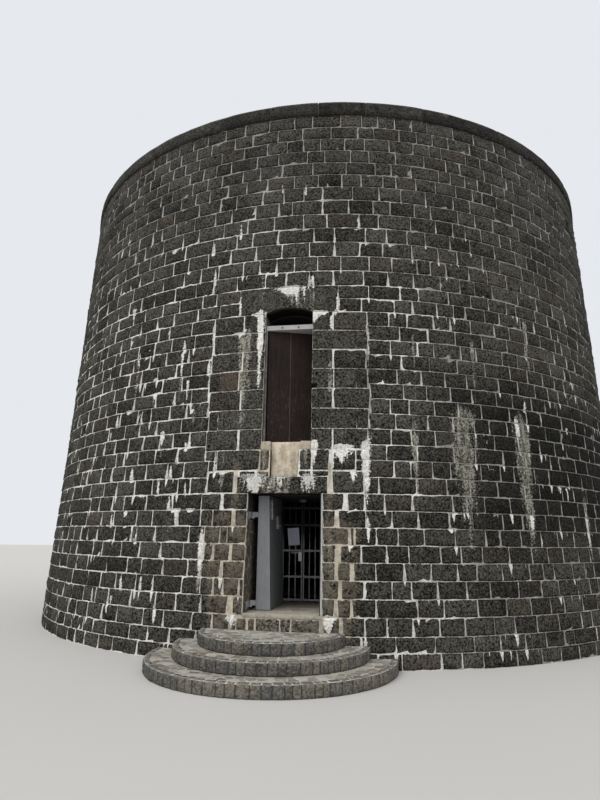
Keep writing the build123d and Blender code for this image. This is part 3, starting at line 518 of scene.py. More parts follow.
def render_finish(name, pale, dirty, grain_scale=26.0, relief=0.004, streaked=0.5, soiled=0.0):
    """Trowelled lime render or worn pale stone, mottled and streaked with dirt."""
    f = Finish(name)
    patch = f.noise(5.0, 4.0, 0.65)
    grain = f.noise(grain_scale, 4.0, 0.7)
    fine = f.noise(190.0, 2.0)
    streaks = f.noise(16.0, 3.0, 0.6, stretch=drawn_out(2, 0.12))
    soil = (patch * 0.7 + grain * 0.55 + streaks * streaked - 0.5 * streaked + soiled).ramp(0.48, 0.85)
    base = f.mix(soil, pale, dirty)
    base = f.mix(grain.ramp(0.60, 0.78) * 0.35, base, shade(pale, 1.18))
    base = f.mix(grain.ramp(0.36, 0.26) * 0.55, base, shade(dirty, 0.55))
    return f.surface(base, 0.92, patch * relief + grain * relief * 0.5 + fine * 0.0006)


def rubble_finish():
    """Rough stones half hidden in cream render, on the passages' sides; painted nearly black in the upper one, as
    shade.
    """
    f = Finish("passage_rubble")
    ragged = f.noise(24.0, 4.0, 0.7)
    patch = f.noise(5.0, 4.0, 0.65)
    warp = f.noise(6.0, 3.0, 0.5, output="Color")
    sockets = (warp, (0.16, 0.16, 0.16), f.stretched((1.0, 1.0, 1.5)))
    bent = f.add("ShaderNodeVectorMath", {"operation": "MULTIPLY_ADD"}, sockets)
    gap = f.cells(4.2, "DISTANCE_TO_EDGE", bent)
    own = f.cells(4.2, place=bent, output="Color")
    stone = (gap + (ragged - 0.5) * 0.16).ramp(0.02, 0.12)
    rock = f.mix(f.parts(own)[0] * 0.6 + patch * 0.5, (0.020, 0.018, 0.015, 1), (0.100, 0.078, 0.056, 1))
    lime = f.mix((ragged * 0.6 + patch * 0.6).ramp(0.4, 0.8), colour("cream", 0.16), colour("cream", 0.62))
    base = f.mix(stone * 0.85, lime, rock)
    # Painted shade: above about two metres the passage sides turn nearly black.
    black = f.mix(ragged, (0.006, 0.0055, 0.005, 1), (0.035, 0.031, 0.027, 1))
    base = f.mix(f.z.ramp(1.85, 2.10), base, black)
    return f.surface(base, 0.94, stone * 0.012 + ragged * 0.010)


def plaster_finish(name, pale, worn):
    """Plain lime-washed plaster inside the rooms, with worn patches and hairline cracks, painted dark above the upper
    floor as shade.
    """
    f = Finish(name)
    patch = f.noise(1.7, 4.0, 0.6)
    grain = f.noise(30.0, 3.0, 0.6)
    crack = f.cells(1.3, "DISTANCE_TO_EDGE").ramp(0.012, 0.002) * patch.ramp(0.45, 0.6)
    base = f.mix(patch.ramp(0.35, 0.75), pale, worn)
    base = f.mix(crack * 0.6, base, shade(worn, 0.4))
    # Painted shade: above the upper floor the plaster is nearly black.
    base = f.mix(f.z.ramp(SHADE_HEIGHT, SHADE_HEIGHT + 0.1) * 0.9, base, shade(worn, 0.15))
    return f.surface(base, 0.9, patch * 0.012 + grain * 0.002 - crack * 0.002)


def slab_finish(name, pale, dark, scale=24.0):
    """Grey paving stone, each slab with its own tone, pale and dark spots in its grain."""
    f = Finish(name)
    tone, brown, _ = f.attribute("stone")
    patch = f.noise(7.0, 4.0, 0.6)
    grain = f.noise(scale * 2.6, 4.0, 0.75)
    base = f.mix((tone * 0.7 + patch * 1.2 - 0.50).ramp(0.0, 1.0), dark, pale)
    base = f.mix(brown * 0.8, base, (0.14, 0.10, 0.075, 1))
    base = f.mix(grain.ramp(0.58, 0.78) * 0.5, base, shade(pale, 1.6))
    base = f.mix(grain.ramp(0.42, 0.28) * 0.7, base, shade(dark, 0.4))
    return f.surface(base, 0.88, patch * 0.006 + grain * 0.0035)


def painted_timber(name, paint, worn, grain_axis, shade_beyond=None):
    """Old gloss paint on boards: grain shows through, and it's worn to primer in scuffs and low down."""
    f = Finish(name)
    chips = 0.4
    grain = f.noise(55.0, 4.0, 0.6, stretch=drawn_out(grain_axis, 0.06))
    patch = f.noise(4.0, 4.0, 0.65)
    scuff = f.noise(34.0, 4.0, 0.75, stretch=drawn_out(grain_axis, 0.35))
    base = f.mix((patch * 0.6 + grain * 0.5).ramp(0.3, 0.85), shade(paint, 0.86), shade(paint, 1.12))
    base = f.mix(grain.ramp(0.44, 0.34) * 0.35, base, shade(paint, 0.6))
    base = f.mix(scuff.ramp(0.66, 0.72) * patch.ramp(0.4, 0.6) * chips, base, worn)
    base = f.mix(f.z.ramp(1.15, 0.66) * scuff.ramp(0.4, 0.65) * chips, base, shade(worn, 0.7))
    # Painted shade: the boards' side in the passage, beyond a level across y, turns a dark green-grey.
    if shade_beyond is not None:
        base = f.mix(f.y.ramp(shade_beyond, shade_beyond + 0.02) * 0.45, base, (0.055, 0.075, 0.075, 1))
    return f.surface(base, grain * 0.25 + patch * 0.2 + 0.30, grain * 0.0012 + patch * 0.002)


def bare_timber(name, light, dark, scratch):
    """Dark weathered upright boards with a long open grain and pale scratches low down."""
    f = Finish(name)
    rings = f.noise(38.0, 5.0, 0.65, stretch=drawn_out(2, 0.05), distortion=0.6)
    fibre = f.noise(170.0, 3.0, 0.6, stretch=drawn_out(2, 0.05))
    patch = f.noise(3.2, 4.0, 0.6)
    scuff = f.noise(30.0, 5.0, 0.8, stretch=drawn_out(2, 0.4))
    base = f.mix((rings * 0.8 + patch * 0.5 - 0.15).ramp(0.2, 0.8), dark, light)
    base = f.mix(fibre.ramp(0.45, 0.32) * 0.55, base, shade(dark, 0.45))
    low = f.z.ramp(4.2, 3.5) * 0.5 + 0.06
    base = f.mix(scuff.ramp(0.55, 0.68) * low * patch.ramp(0.35, 0.55), base, scratch)
    return f.surface(base, 0.6 + fibre * 0.3, rings * 0.0016 + fibre * 0.0008, specular=0.15)


def part_painted_timber(name, axis, bare, painted, paint, wood):
    """Bare dark wood with pale paint on one side: across an axis, bare at one place and painted at the next."""
    f = Finish(name)
    fibre = f.noise(120.0, 3.0, 0.6, stretch=drawn_out(2, 0.05))
    patch = f.noise(9.0, 4.0, 0.7)
    pale = f.mix(patch.ramp(0.3, 0.7), *paint)
    base = f.mix(getattr(f, axis).ramp(bare, painted), f.mix(fibre, *wood), pale)
    return f.surface(base, 0.8, fibre * 0.0012 + patch * 0.001)


def iron_finish(name, paint, rust, metal=0.0, rust_amount=0.5, shaded_above=None):
    """Painted or bare iron with brush marks, rust in spots, and painted shade above a height where one is given."""
    f = Finish(name)
    patch = f.noise(9.0, 4.0, 0.65)
    spots = f.noise(70.0, 4.0, 0.75)
    eaten = (spots * 0.8 + patch * 0.6).ramp(0.86 - 0.12 * rust_amount, 0.96)
    base = f.mix(patch.ramp(0.35, 0.7), shade(paint, 0.8), shade(paint, 1.15))
    base = f.mix(eaten, base, f.mix(spots.ramp(0.4, 0.7), shade(rust, 0.5), rust))
    if shaded_above is not None:
        # Painted shade: the iron turns nearly black above the given height.
        painted_shade = (f.z + (patch - 0.5) * 0.3).ramp(shaded_above, shaded_above + 0.25)
        base = f.mix(painted_shade * 0.93, base, shade(paint, 0.06))
    rough = eaten * 0.4 + patch * 0.2 + 0.32
    shine = 0.5 if shaded_above is None else 0.12
    return f.surface(base, rough, spots * 0.0006 + eaten * 0.0006, shine, metal)


def paper_finish():
    """Blank paper, bluish in the shade of the passage."""
    f = Finish("notice_paper")
    patch = f.noise(18.0, 3.0, 0.5)
    fibre = f.noise(420.0, 2.0)
    base = f.mix(patch.ramp(0.3, 0.7), (0.66, 0.69, 0.86, 1), (0.80, 0.83, 0.97, 1))
    return f.surface(base, 0.75 + fibre * 0.1, patch * 0.003 + fibre * 0.00008)


def lamp_finish():
    """Dusty glass with a grey ring."""
    f = Finish("lamp_glass")
    dust = f.noise(24.0, 4.0, 0.7)
    # Painted shade: the glass is made dark grey, as it hangs in the passage's shade.
    glass = f.mix(dust.ramp(0.5, 0.75) * 0.5, (0.30, 0.30, 0.28, 1), (0.16, 0.15, 0.13, 1))
    base = f.mix(f.z.ramp(2.206, 2.210), glass, (0.22, 0.22, 0.21, 1))
    return f.surface(base, 0.25 + dust * 0.35, dust * 0.0004)


def whole(bm):
    return bm.verts[:] + bm.edges[:] + bm.faces[:]


def cut(bm, point, normal, **options):
    bmesh.ops.bisect_plane(bm, geom=whole(bm), plane_co=point, plane_no=normal, **options)


def thicken(bm, shift):
    """Extrudes all faces by a shift, and gives the vertices that moved."""
    grown = bmesh.ops.extrude_face_region(bm, geom=bm.faces[:])["geom"]
    moved = [item for item in grown if isinstance(item, bmesh.types.BMVert)]
    bmesh.ops.translate(bm, vec=shift, verts=moved)
    return moved


def sharp_edges(bm):
    return [edge for edge in bm.edges if edge.calc_face_angle(0.0) > SHARP_ANGLE]


def round_edges(bm, edges, arris):
    bmesh.ops.bevel(bm, geom=edges, offset=arris, segments=2, profile=0.5, affect="EDGES", material=-1)


def add_block(bm, size, centre):
    verts = bmesh.ops.create_cube(bm, size=1.0)["verts"]
    bmesh.ops.scale(bm, vec=size, verts=verts)
    bmesh.ops.translate(bm, vec=centre, verts=verts)


def add_head(bm, centre, turn, **shape):
    """Adds the head of a bolt, turned about an axis."""
    verts = bmesh.ops.create_cone(bm, cap_ends=True, **shape)["verts"]
    degrees, axis = turn
    bmesh.ops.transform(bm, matrix=Matrix.Rotation(math.radians(degrees), 4, axis), verts=verts)
    bmesh.ops.translate(bm, vec=centre, verts=verts)


def node_copy(name):
    """A CAD node's mesh, welded, to be pared down for a bed."""
    bm = bmesh.new()
    bm.from_mesh(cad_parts[name].data)
    bmesh.ops.remove_doubles(bm, verts=bm.verts[:], dist=WELD)
    return bm


def block_pattern(columns, rows):
    """A block with a grid on its front: each vertex's column, row and layer, and the faces."""
    bm = bmesh.new()
    bmesh.ops.create_grid(bm, x_segments=columns, y_segments=rows, size=0.5)
    thicken(bm, (0, 0, 1))
    back = [face for face in bm.faces if all(vert.co.z < 0.5 for vert in face.verts)]
    bmesh.ops.dissolve_faces(bm, faces=back, use_verts=True)
    bmesh.ops.recalc_face_normals(bm, faces=bm.faces[:])
    bm.verts.index_update()
    co = np.array([vert.co for vert in bm.verts])
    column, row, layer = np.round((co + (0.5, 0.5, 0)) * (columns, rows, 1)).astype(int).T
    faces = [[vert.index for vert in face.verts] for face in bm.faces]
    bm.free()
    return column, row, layer, faces


def graded(index, count, edge):
    """Position across a stone: its first and last cells are as wide as edge."""
    inner = edge + (index - 1) / (count - 2) * (1 - 2 * edge)
    return np.where(index == 0, 0.0, np.where(index == count, 1.0, inner))


def cut_stones(name, spans, scale, place, rng, columns=6, rows=4, flipped=False, margin=0.026, drop=0.010,
               bulge=0.006, rough=0.005, tilt=0.005, wander=0.0024, thickness=0.045, brown=0.10, marks=None):
    """One mesh of many cut stones. A span is azimuth from and to, then low and high; place puts it on the tower.

    Each stone gets its own ragged outline, rounded arris, tilt and rough face.
    """
    column, row, layer, faces = block_pattern(columns, rows)
    left, right, low, high = (spans[:, index, None] for index in range(4))
    count, size = len(spans), len(column)
    width = (right - left) * scale[:, None]
    height = high - low
    spread = rng.uniform(0.7, 1.4, (count, 1))
    u = graded(column[None, :], columns, np.minimum(margin * spread / width, 0.3))
    v = graded(row[None, :], rows, np.minimum(margin * spread / height, 0.3))
    ends = (column == 0) | (column == columns)
    sides = (row == 0) | (row == rows)
    rim = ends | sides
    corner = np.where(ends & sides, 0.004, 0.0)
    inwards_u = np.where(column == 0, 1, np.where(column == columns, -1, 0))
    inwards_v = np.where(row == 0, 1, np.where(row == rows, -1, 0))
    front = layer == 1
    shift_u = rng.normal(0, wander, (count, size)) + inwards_u * corner * rng.uniform(0.4, 1.8, (count, size))
    shift_v = rng.normal(0, wander, (count, size)) + inwards_v * corner * rng.uniform(0.4, 1.8, (count, size))
    u_at = u + shift_u / width
    v_at = v + shift_v / height
    dome = (1 - (2 * u - 1) ** 2) * (1 - (2 * v - 1) ** 2)
    lean = (u - 0.5) * rng.normal(0, tilt, (count, 1)) + (v - 0.5) * rng.normal(0, tilt, (count, 1))
    own = rng.uniform(0.4, 1.6, (count, 1))
    face = bulge * own * dome + lean + rng.normal(0, rough, (count, size)) * own * np.where(dome > 0.25, 1.0, 0.35)
    rim_face = -drop * rng.uniform(0.6, 1.4, (count, size)) + lean
    depth = np.where(front, np.where(rim, rim_face, face), -thickness)
    corners = place(left + (right - left) * u_at, low + height * v_at, depth).reshape(-1, 3)
    mesh = bpy.data.meshes.new(name)
    offsets = np.arange(count) * size
    polygons = []
    for indices in faces:
        order = indices[::-1] if flipped else indices
        polygons += (offsets[:, None] + np.array(order)[None, :]).tolist()
    mesh.from_pydata(corners.tolist(), [], polygons)
    mesh.polygons.foreach_set("use_smooth", np.ones(len(polygons), bool))
    tone = rng.uniform(0, 1, (count, 1))
    rusty = (rng.uniform(0, 1, (count, 1)) < brown) * rng.uniform(0.08, 0.36, (count, 1))
    wear = rng.uniform(0.2, 1.0, (count, 1))
    flat = np.ones((1, size))
    note(mesh, "stone", tone * flat, rusty, wear)
    if marks is not None:
        fan_left, fan_right, drips = marks
        across = np.minimum(u_at, 1 - u_at) * width
        fan = fan_left[:, None] * (1 - u) + fan_right[:, None] * u
        note(mesh, "joint", across, v_at * height, fan)
        arc = (left + (right - left) * u_at) * BASE_RADIUS
        arc = np.remainder(arc + AROUND / 2, AROUND) - AROUND / 2
        side, run = drips(arc, high * flat)
        note(mesh, "drip", side, (1 - v_at) * height, run)
        z_at = low + height * v_at
        first, second = runs_on_stones(WHITE_RUNS, arc, z_at, 2)
        note(mesh, "white_run", *first)
        note(mesh, "next_white_run", *second)
        note(mesh, "grey_run", *runs_on_stones(GREY_RUNS, arc, z_at, 1)[0])
        note_cream(mesh, arc.ravel(), z_at.ravel())
    return mesh


def note(mesh, name, *values):
    """Stores three numbers at each vertex, for the finishes to read."""
    layer = mesh.attributes.new(name, "FLOAT_VECTOR", "POINT")
    stacked = np.stack(np.broadcast_arrays(*values), -1)
    layer.data.foreach_set("vector", np.ascontiguousarray(stacked, np.float32).ravel())


def note_cream(mesh, arc, height):
    """Marks how near each vertex is to the cream repairs round the doors."""
    note(mesh, "cream", 1 - strongest_run(CREAM_PATCHES, arc, height)[0], 0, 0)


def note_lime(mesh):
    """Marks the lime and the cream repairs on the vertices of worked stones."""
    co = np.empty(len(mesh.vertices) * 3)
    mesh.vertices.foreach_get("co", co)
    x, y, height = co.reshape(-1, 3).T
    arc = np.arctan2(x, -y) * BASE_RADIUS
    note(mesh, "white_run", *strongest_run(WHITE_RUNS, arc, height))
    note(mesh, "grey_run", *strongest_run(GREY_RUNS, arc, height))
    note_cream(mesh, arc, height)


def piece(name, shape, material, body=ROOT, stands_for=()):
    """A finished piece of a mesh or bmesh: its object at the origin, riding on a body."""
    mesh = shape if isinstance(shape, bpy.types.Mesh) else mesh_of(shape, name)
    obj = bpy.data.objects.new(name, mesh)
    bpy.context.scene.collection.objects.link(obj)
    for finish in material if isinstance(material, (list, tuple)) else [material]:
        mesh.materials.append(finish)
    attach(obj, body)
    if stands_for:
        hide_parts(*stands_for)
    return obj


def dress_node(name, material):
    """A CAD node that keeps its shape gets its finish."""
    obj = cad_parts[name]
    if not obj.material_slots:
        obj.data.materials.append(material)
    for slot in obj.material_slots:
        slot.material = material


def welded(bm, smooth=False):
    bmesh.ops.remove_doubles(bm, verts=bm.verts[:], dist=WELD)
    bmesh.ops.recalc_face_normals(bm, faces=bm.faces[:])
    for face in bm.faces:
        face.smooth = smooth
    return bm


def blocks_in_wall():
    """Openings and worked stones in the front, as arc from and to, then low and high."""
    found = [(-arc_of(DOOR_HALF, 1.4), arc_of(DOOR_HALF, 1.4), DOOR_SILL - 0.05, DOOR_HEAD)]
    for low_corner, high_corner in (LINTEL_BOX, ARCH_BOX):
        low, high = low_corner.z, high_corner.z
        found.append((arc_of(low_corner.x, low), arc_of(high_corner.x, low), low, high))
    top = ARCH_BOX[0].z
    found.append((-arc_of(UPPER_HALF, 4.0), arc_of(UPPER_HALF, 4.0), SILL_BOX[0].z, top))
    found.append((-0.235, 0.19, DOOR_HEAD + 0.23, SILL_BOX[1].z))
    for index in range(QUOIN_COURSES):
        low = QUOIN_FOOT + index * QUOIN_HEIGHT
        out_left, out_right = (0.705, 0.66) if index % 2 == 0 else (1.06, 1.01)
        found.append((-arc_of(out_left, low), arc_of(out_right, low), low, low + QUOIN_HEIGHT))
    for low, high, ends in FRONT_ROWS:
        found += [(start, end, low, high) for start, end in ends]
    return found


def split_run(start, end, below, rng, usual):
    """Joints of a run of stones, kept away from the joints of the course below."""
    number = max(1, round((end - start) / usual))
    shares = rng.uniform(0.68, 1.36, number)
    cuts = start + (end - start) * np.cumsum(shares)[:-1] / shares.sum()
    for index, cut in enumerate(cuts):
        if len(below):
            nearest = below[np.argmin(np.abs(below - cut))]
            gap = cut - nearest
            if abs(gap) < JOINT_STAGGER:
                cuts[index] = nearest + math.copysign(JOINT_STAGGER, gap if gap else 1.0)
    return [start, *cuts, end]


def free_runs(low, high, blocks):
    """Where a course isn't taken up: runs of arc with the height that is left in each."""
    near = [block for block in blocks if block[2] < high - 0.02 and block[3] > low + 0.02]
    edges = sorted({edge for block in near for edge in block[:2]})
    runs = []
    for start, end in zip(edges, edges[1:] + [edges[0] + AROUND] if edges else []):
        middle = (start + end) / 2
        over = [block for block in near if block[0] < middle < block[1]]
        floor, ceiling = low, high
        for block in over:
            if block[2] > low + 0.03:
                ceiling = min(ceiling, block[2])
            elif block[3] < high - 0.03:
                floor = max(floor, block[3])
            else:
                ceiling = floor
        if ceiling - floor < 0.045:
            continue
        if runs and abs(runs[-1][1] - start) < 1e-6 and runs[-1][2:] == [floor, ceiling]:
            runs[-1][1] = end
        else:
            runs.append([start, end, floor, ceiling])
    return runs


def wall_layout(rng, sizes):
    """Every wall stone as arc from and to, low, high and how far lime fans out at its two ends; and every upright
    joint as arc, foot, head."""
    blocks = blocks_in_wall()
    half = sizes.bed_joint / 2
    stones, joints = [], []
    below = np.array([])
    for low, high in zip(BEDS, BEDS[1:]):
        runs = free_runs(low, high, blocks)
        if not runs:
            start = rng.uniform(0, 1)
            runs = [[start, start + AROUND, low, high]]
        here = []
        for start, end, floor, ceiling in runs:
            if end - start < LEAST_STONE:
                continue
            cuts = split_run(start, end, below, rng, sizes.stone_length)
            here += cuts
            shaded_side = np.where(np.array(cuts) > 1.3, 0.65, 1.0)
            gaps = sizes.joint * shaded_side * rng.uniform(0.7, 1.8, len(cuts)) / 2
            fans = rng.uniform(0, 1, len(cuts)) ** 1.3
            for index, (first, second) in enumerate(zip(cuts, cuts[1:])):
                stones.append((first + gaps[index], second - gaps[index + 1], floor + half, ceiling - half,
                               fans[index], fans[index + 1]))
                joints.append((second, floor, ceiling))
        below = np.concatenate([np.array(here) + shift for shift in (0, -AROUND, AROUND)])
    for low, high, ends in FRONT_ROWS:
        for (start, end), following in zip(ends, ends[1:] + ((9.0, 9.0),)):
            stones.append((start, end, low + half, high - half, *rng.uniform(0, 0.6, 2)))
            if following[0] - end < 0.09:
                joints.append(((end + following[0]) / 2, low, high))
    return np.array(stones), np.array(joints)


def drip_finder(joints, rng):
    """Finds the upright joint over a point of a stone's top, and how far lime has run from it."""
    strength = np.where(rng.uniform(0, 1, len(joints)) < 0.16, rng.uniform(0.35, 1.0, len(joints)), 0.0)
    strength = strength * np.clip((8.2 - joints[:, 1]) / 4.0, 0.15, 1.0)

    def find(arc, top):
        side = np.full(arc.shape, 1.0)
        run = np.zeros(arc.shape)
        for bed in np.unique(np.round(top[:, 0], 3)):
            rows = np.abs(top[:, 0] - bed) < 0.001
            over = np.abs(joints[:, 1] - bed) < 0.025
            if not over.any():
                continue
            at = np.concatenate([joints[over, 0] + shift for shift in (-AROUND, 0, AROUND)])
            power = np.tile(strength[over], 3)
            order = np.argsort(at)
            at, power = at[order], power[order]
            spot = arc[rows]
            after = np.clip(np.searchsorted(at, spot), 1, len(at) - 1)
            nearer = np.where(spot - at[after - 1] < at[after] - spot, after - 1, after)
            side[rows] = spot - at[nearer]
            run[rows] = power[nearer]
        return side, run

    return find


def around_axis(azimuth, radius, height):
    return np.stack([radius * np.sin(azimuth), -radius * np.cos(azimuth), height], -1)


def on_wall(azimuth, height, depth):
    """Places points on the outer face; the foot courses stay within the tower's width."""
    radius = np.minimum(face_radius(height) + depth, BASE_RADIUS - 0.0005)
    return around_axis(azimuth, radius, np.maximum(height, 0.0005))


def in_parapet(azimuth, height, depth):
    return around_axis(azimuth, PARAPET_INNER - depth, height)


def on_platform(azimuth, radius, depth):
    return around_axis(azimuth, radius, PLATFORM_TOP - 0.004 + np.minimum(depth, 0.003))


WALL_SECTORS = ("front_right", "right", "back_right", "back_left", "left", "front_left")
PARAPET_QUARTERS = ("front", "right", "back", "left")
WALL_BY_DOORS = ("wall_under_door", "wall_over_door", "wall_under_upper_door", "wall_over_upper_door")


def owner(arc, height):
    """Name of the wall node that a stone at this arc and height belongs to."""
    azimuth = math.degrees(arc / BASE_RADIUS) % 360
    if height > PARAPET_BED:
        return "parapet_" + PARAPET_QUARTERS[int((azimuth + 45) // 90) % 4]
    storey = "ground_wall_" if height < UPPER_FLOOR else "upper_wall_"
    return storey + WALL_SECTORS[min(int(azimuth // 60), 5)]


def mortar_bed(node, setback):
    """A copy of a wall node with its faces set back to the mortar's plane; the openings keep their sides."""
    bm = node_copy(node)
    parapet = node.startswith("parapet")
    for vert in bm.verts:
        radius = math.hypot(vert.co.x, vert.co.y)
        wanted = radius
        swell = fullness(vert.co.z)
        if radius > face_radius(vert.co.z) - swell - 0.004:
            wanted = radius + swell - setback
        elif parapet and radius < PARAPET_INNER + 0.004:
            wanted = radius + setback
        vert.co.x *= wanted / radius
        vert.co.y *= wanted / radius
    for face in bm.faces:
        centre = face.calc_center_median()
        radius = math.hypot(centre.x, centre.y)
        outer = radius > face_radius(centre.z) - setback - 0.012
        lining = abs(face.normal.x) > 0.7 or face.normal.z < -0.7 and centre.z > 1
        if not outer and not parapet and abs(centre.x) < 0.56 and lining:
            face.material_index = 1
        elif outer or parapet or abs(face.normal.z) > 0.7:
            face.material_index = 0
        else:
            face.material_index = 2
        face.smooth = bool(outer or parapet and abs(face.normal.z) < 0.3)
    return bm


def worked_stone(outline, depth, seed, cell=0.06, arris=0.006, rough=0.0035, setback=0.0, flat_front=None):
    """A dressed stone of an outline in x and height, let into the wall's curved face.

    Its front follows the wall, or the plane flat_front; its sides run straight back.
    """
    bm = bmesh.new()
    face = bm.faces.new([bm.verts.new((x, 0, z)) for x, z in outline])
    xs, zs = [x for x, _ in outline], [z for _, z in outline]
    for low, high, normal in ((min(xs), max(xs), (1, 0, 0)), (min(zs), max(zs), (0, 0, 1))):
        cuts = max(1, round((high - low) / cell))
        for index in range(1, cuts):
            at = low + (high - low) * index / cuts
            cut(bm, [part * at for part in normal], normal)
    thicken(bm, (0, depth, 0))
    bmesh.ops.recalc_face_normals(bm, faces=bm.faces[:])
    round_edges(bm, sharp_edges(bm), arris)
    for vert in bm.verts:
        x, back, z = vert.co
        start = flat_front if flat_front is not None else -math.sqrt(face_radius(z) ** 2 - x * x)
        near = max(0.0, 1 - back / (arris * 4))
        spot = Vector((x * 9 + seed, back * 9, z * 9))
        wobble = noise.fractal(spot, 0.8, 2.2, 3)
        vert.co.y = start + back + setback - near * (rough * wobble - rough * 0.4)
        vert.co.x += 0.35 * rough * noise.noise(spot * 1.7)
        vert.co.z += 0.35 * rough * noise.noise(spot * 1.3 + Vector((5, 5, 5)))
    for face in bm.faces:
        face.smooth = True
    return bm


def merged(parts):
    """Joins bmeshes of worked stones, each with its own tone and its edges marked for the finish."""
    joined = bmesh.new()
    layers = {name: joined.verts.layers.float_vector.new(name) for name in ("stone", "joint", "drip")}
    for part, tone, brown in parts:
        xs, zs = [vert.co.x for vert in part.verts], [vert.co.z for vert in part.verts]
        left, right, foot, head = min(xs), max(xs), min(zs), max(zs)
        made = {}
        for vert in part.verts:
            copy = joined.verts.new(vert.co)
            across = min(vert.co.x - left, right - vert.co.x)
            copy[layers["stone"]] = (tone, brown, 0.6)
            copy[layers["joint"]] = (across, vert.co.z - foot, 0.15)
            copy[layers["drip"]] = (1.0, head - vert.co.z, 0.0)
            made[vert] = copy
        for face in part.faces:
            joined.faces.new([made[vert] for vert in face.verts]).smooth = True
        part.free()
    bmesh.ops.recalc_face_normals(joined, faces=joined.faces[:])
    return joined


def mesh_of(bm, name):
    """Turns a bmesh into a mesh; worked stones, which have the drip layer, get their marks."""
    mesh = bpy.data.meshes.new(name)
    bm.to_mesh(mesh)
    bm.free()
    if "drip" in mesh.attributes:
        note_lime(mesh)
    return mesh


def box_outline(left, right, low, high):
    return [(left, low), (right, low), (right, high), (left, high)]


class TOWER_OT_wall(bpy.types.Operator):
    """Lay the coursed basalt of both storeys and the parapet, with its mortar behind it"""

    bl_idname = "tower.wall"
    bl_label = "Wall stones"

    def execute(self, context):
        sizes = context.scene.tower_masonry
        rng = np.random.default_rng(sizes.seed)
        spans, joints = wall_layout(rng, sizes)
        find = drip_finder(joints, rng)
        stone_finish = basalt("wall_basalt")
        plaster = ("room_plaster", (0.20, 0.18, 0.15, 1), (0.10, 0.09, 0.075, 1))
        bed_finishes = [mortar_finish(), rubble_finish(), plaster_finish(*plaster)]
        owners = np.array([owner((left + right) / 2, (low + high) / 2) for left, right, low, high in spans[:, :4]])
        for node in (*sorted(set(owners)), *WALL_BY_DOORS):
            own = spans[owners == node]
            if len(own):
                angles = own.copy()
                angles[:, :2] /= BASE_RADIUS
                scale = face_radius((own[:, 2] + own[:, 3]) / 2)
                marks = (own[:, 4], own[:, 5], find)
                mesh = cut_stones(node + "_stones", angles, scale, on_wall, rng, marks=marks)
                piece(node + "_stones", mesh, stone_finish)
            bed = mortar_bed(node, sizes.mortar_setback)
            piece(node + "_bed", bed, bed_finishes, stands_for=[node])
        self.lay_inside(sizes, rng)
        return {"FINISHED"}

    def lay_inside(self, sizes, rng):
        """The parapet's inner face, in the same courses."""
        finish = basalt("parapet_basalt", 1.15, marked=False)
        beds = [bed for bed in BEDS if bed > PLATFORM_TOP - 0.2]
        beds[0] = PLATFORM_TOP
        around = 2 * math.pi * PARAPET_INNER
        rows, below = [], np.array([])
        for low, high in zip(beds, beds[1:]):
            start = rng.uniform(0, 1)
            cuts = split_run(start, start + around, below, rng, sizes.stone_length * 1.1)
            below = np.array(cuts)
            half = sizes.joint / 2
            rows += [(a + half, b - half, low + half, high - half) for a, b in zip(cuts, cuts[1:])]
        rows = np.array(rows)
        rows[:, :2] /= PARAPET_INNER
        scale = np.full(len(rows), PARAPET_INNER)
        mesh = cut_stones("parapet_inner_stones", rows, scale, in_parapet, rng, flipped=True, drop=0.006)
        piece("parapet_inner_stones", mesh, finish)


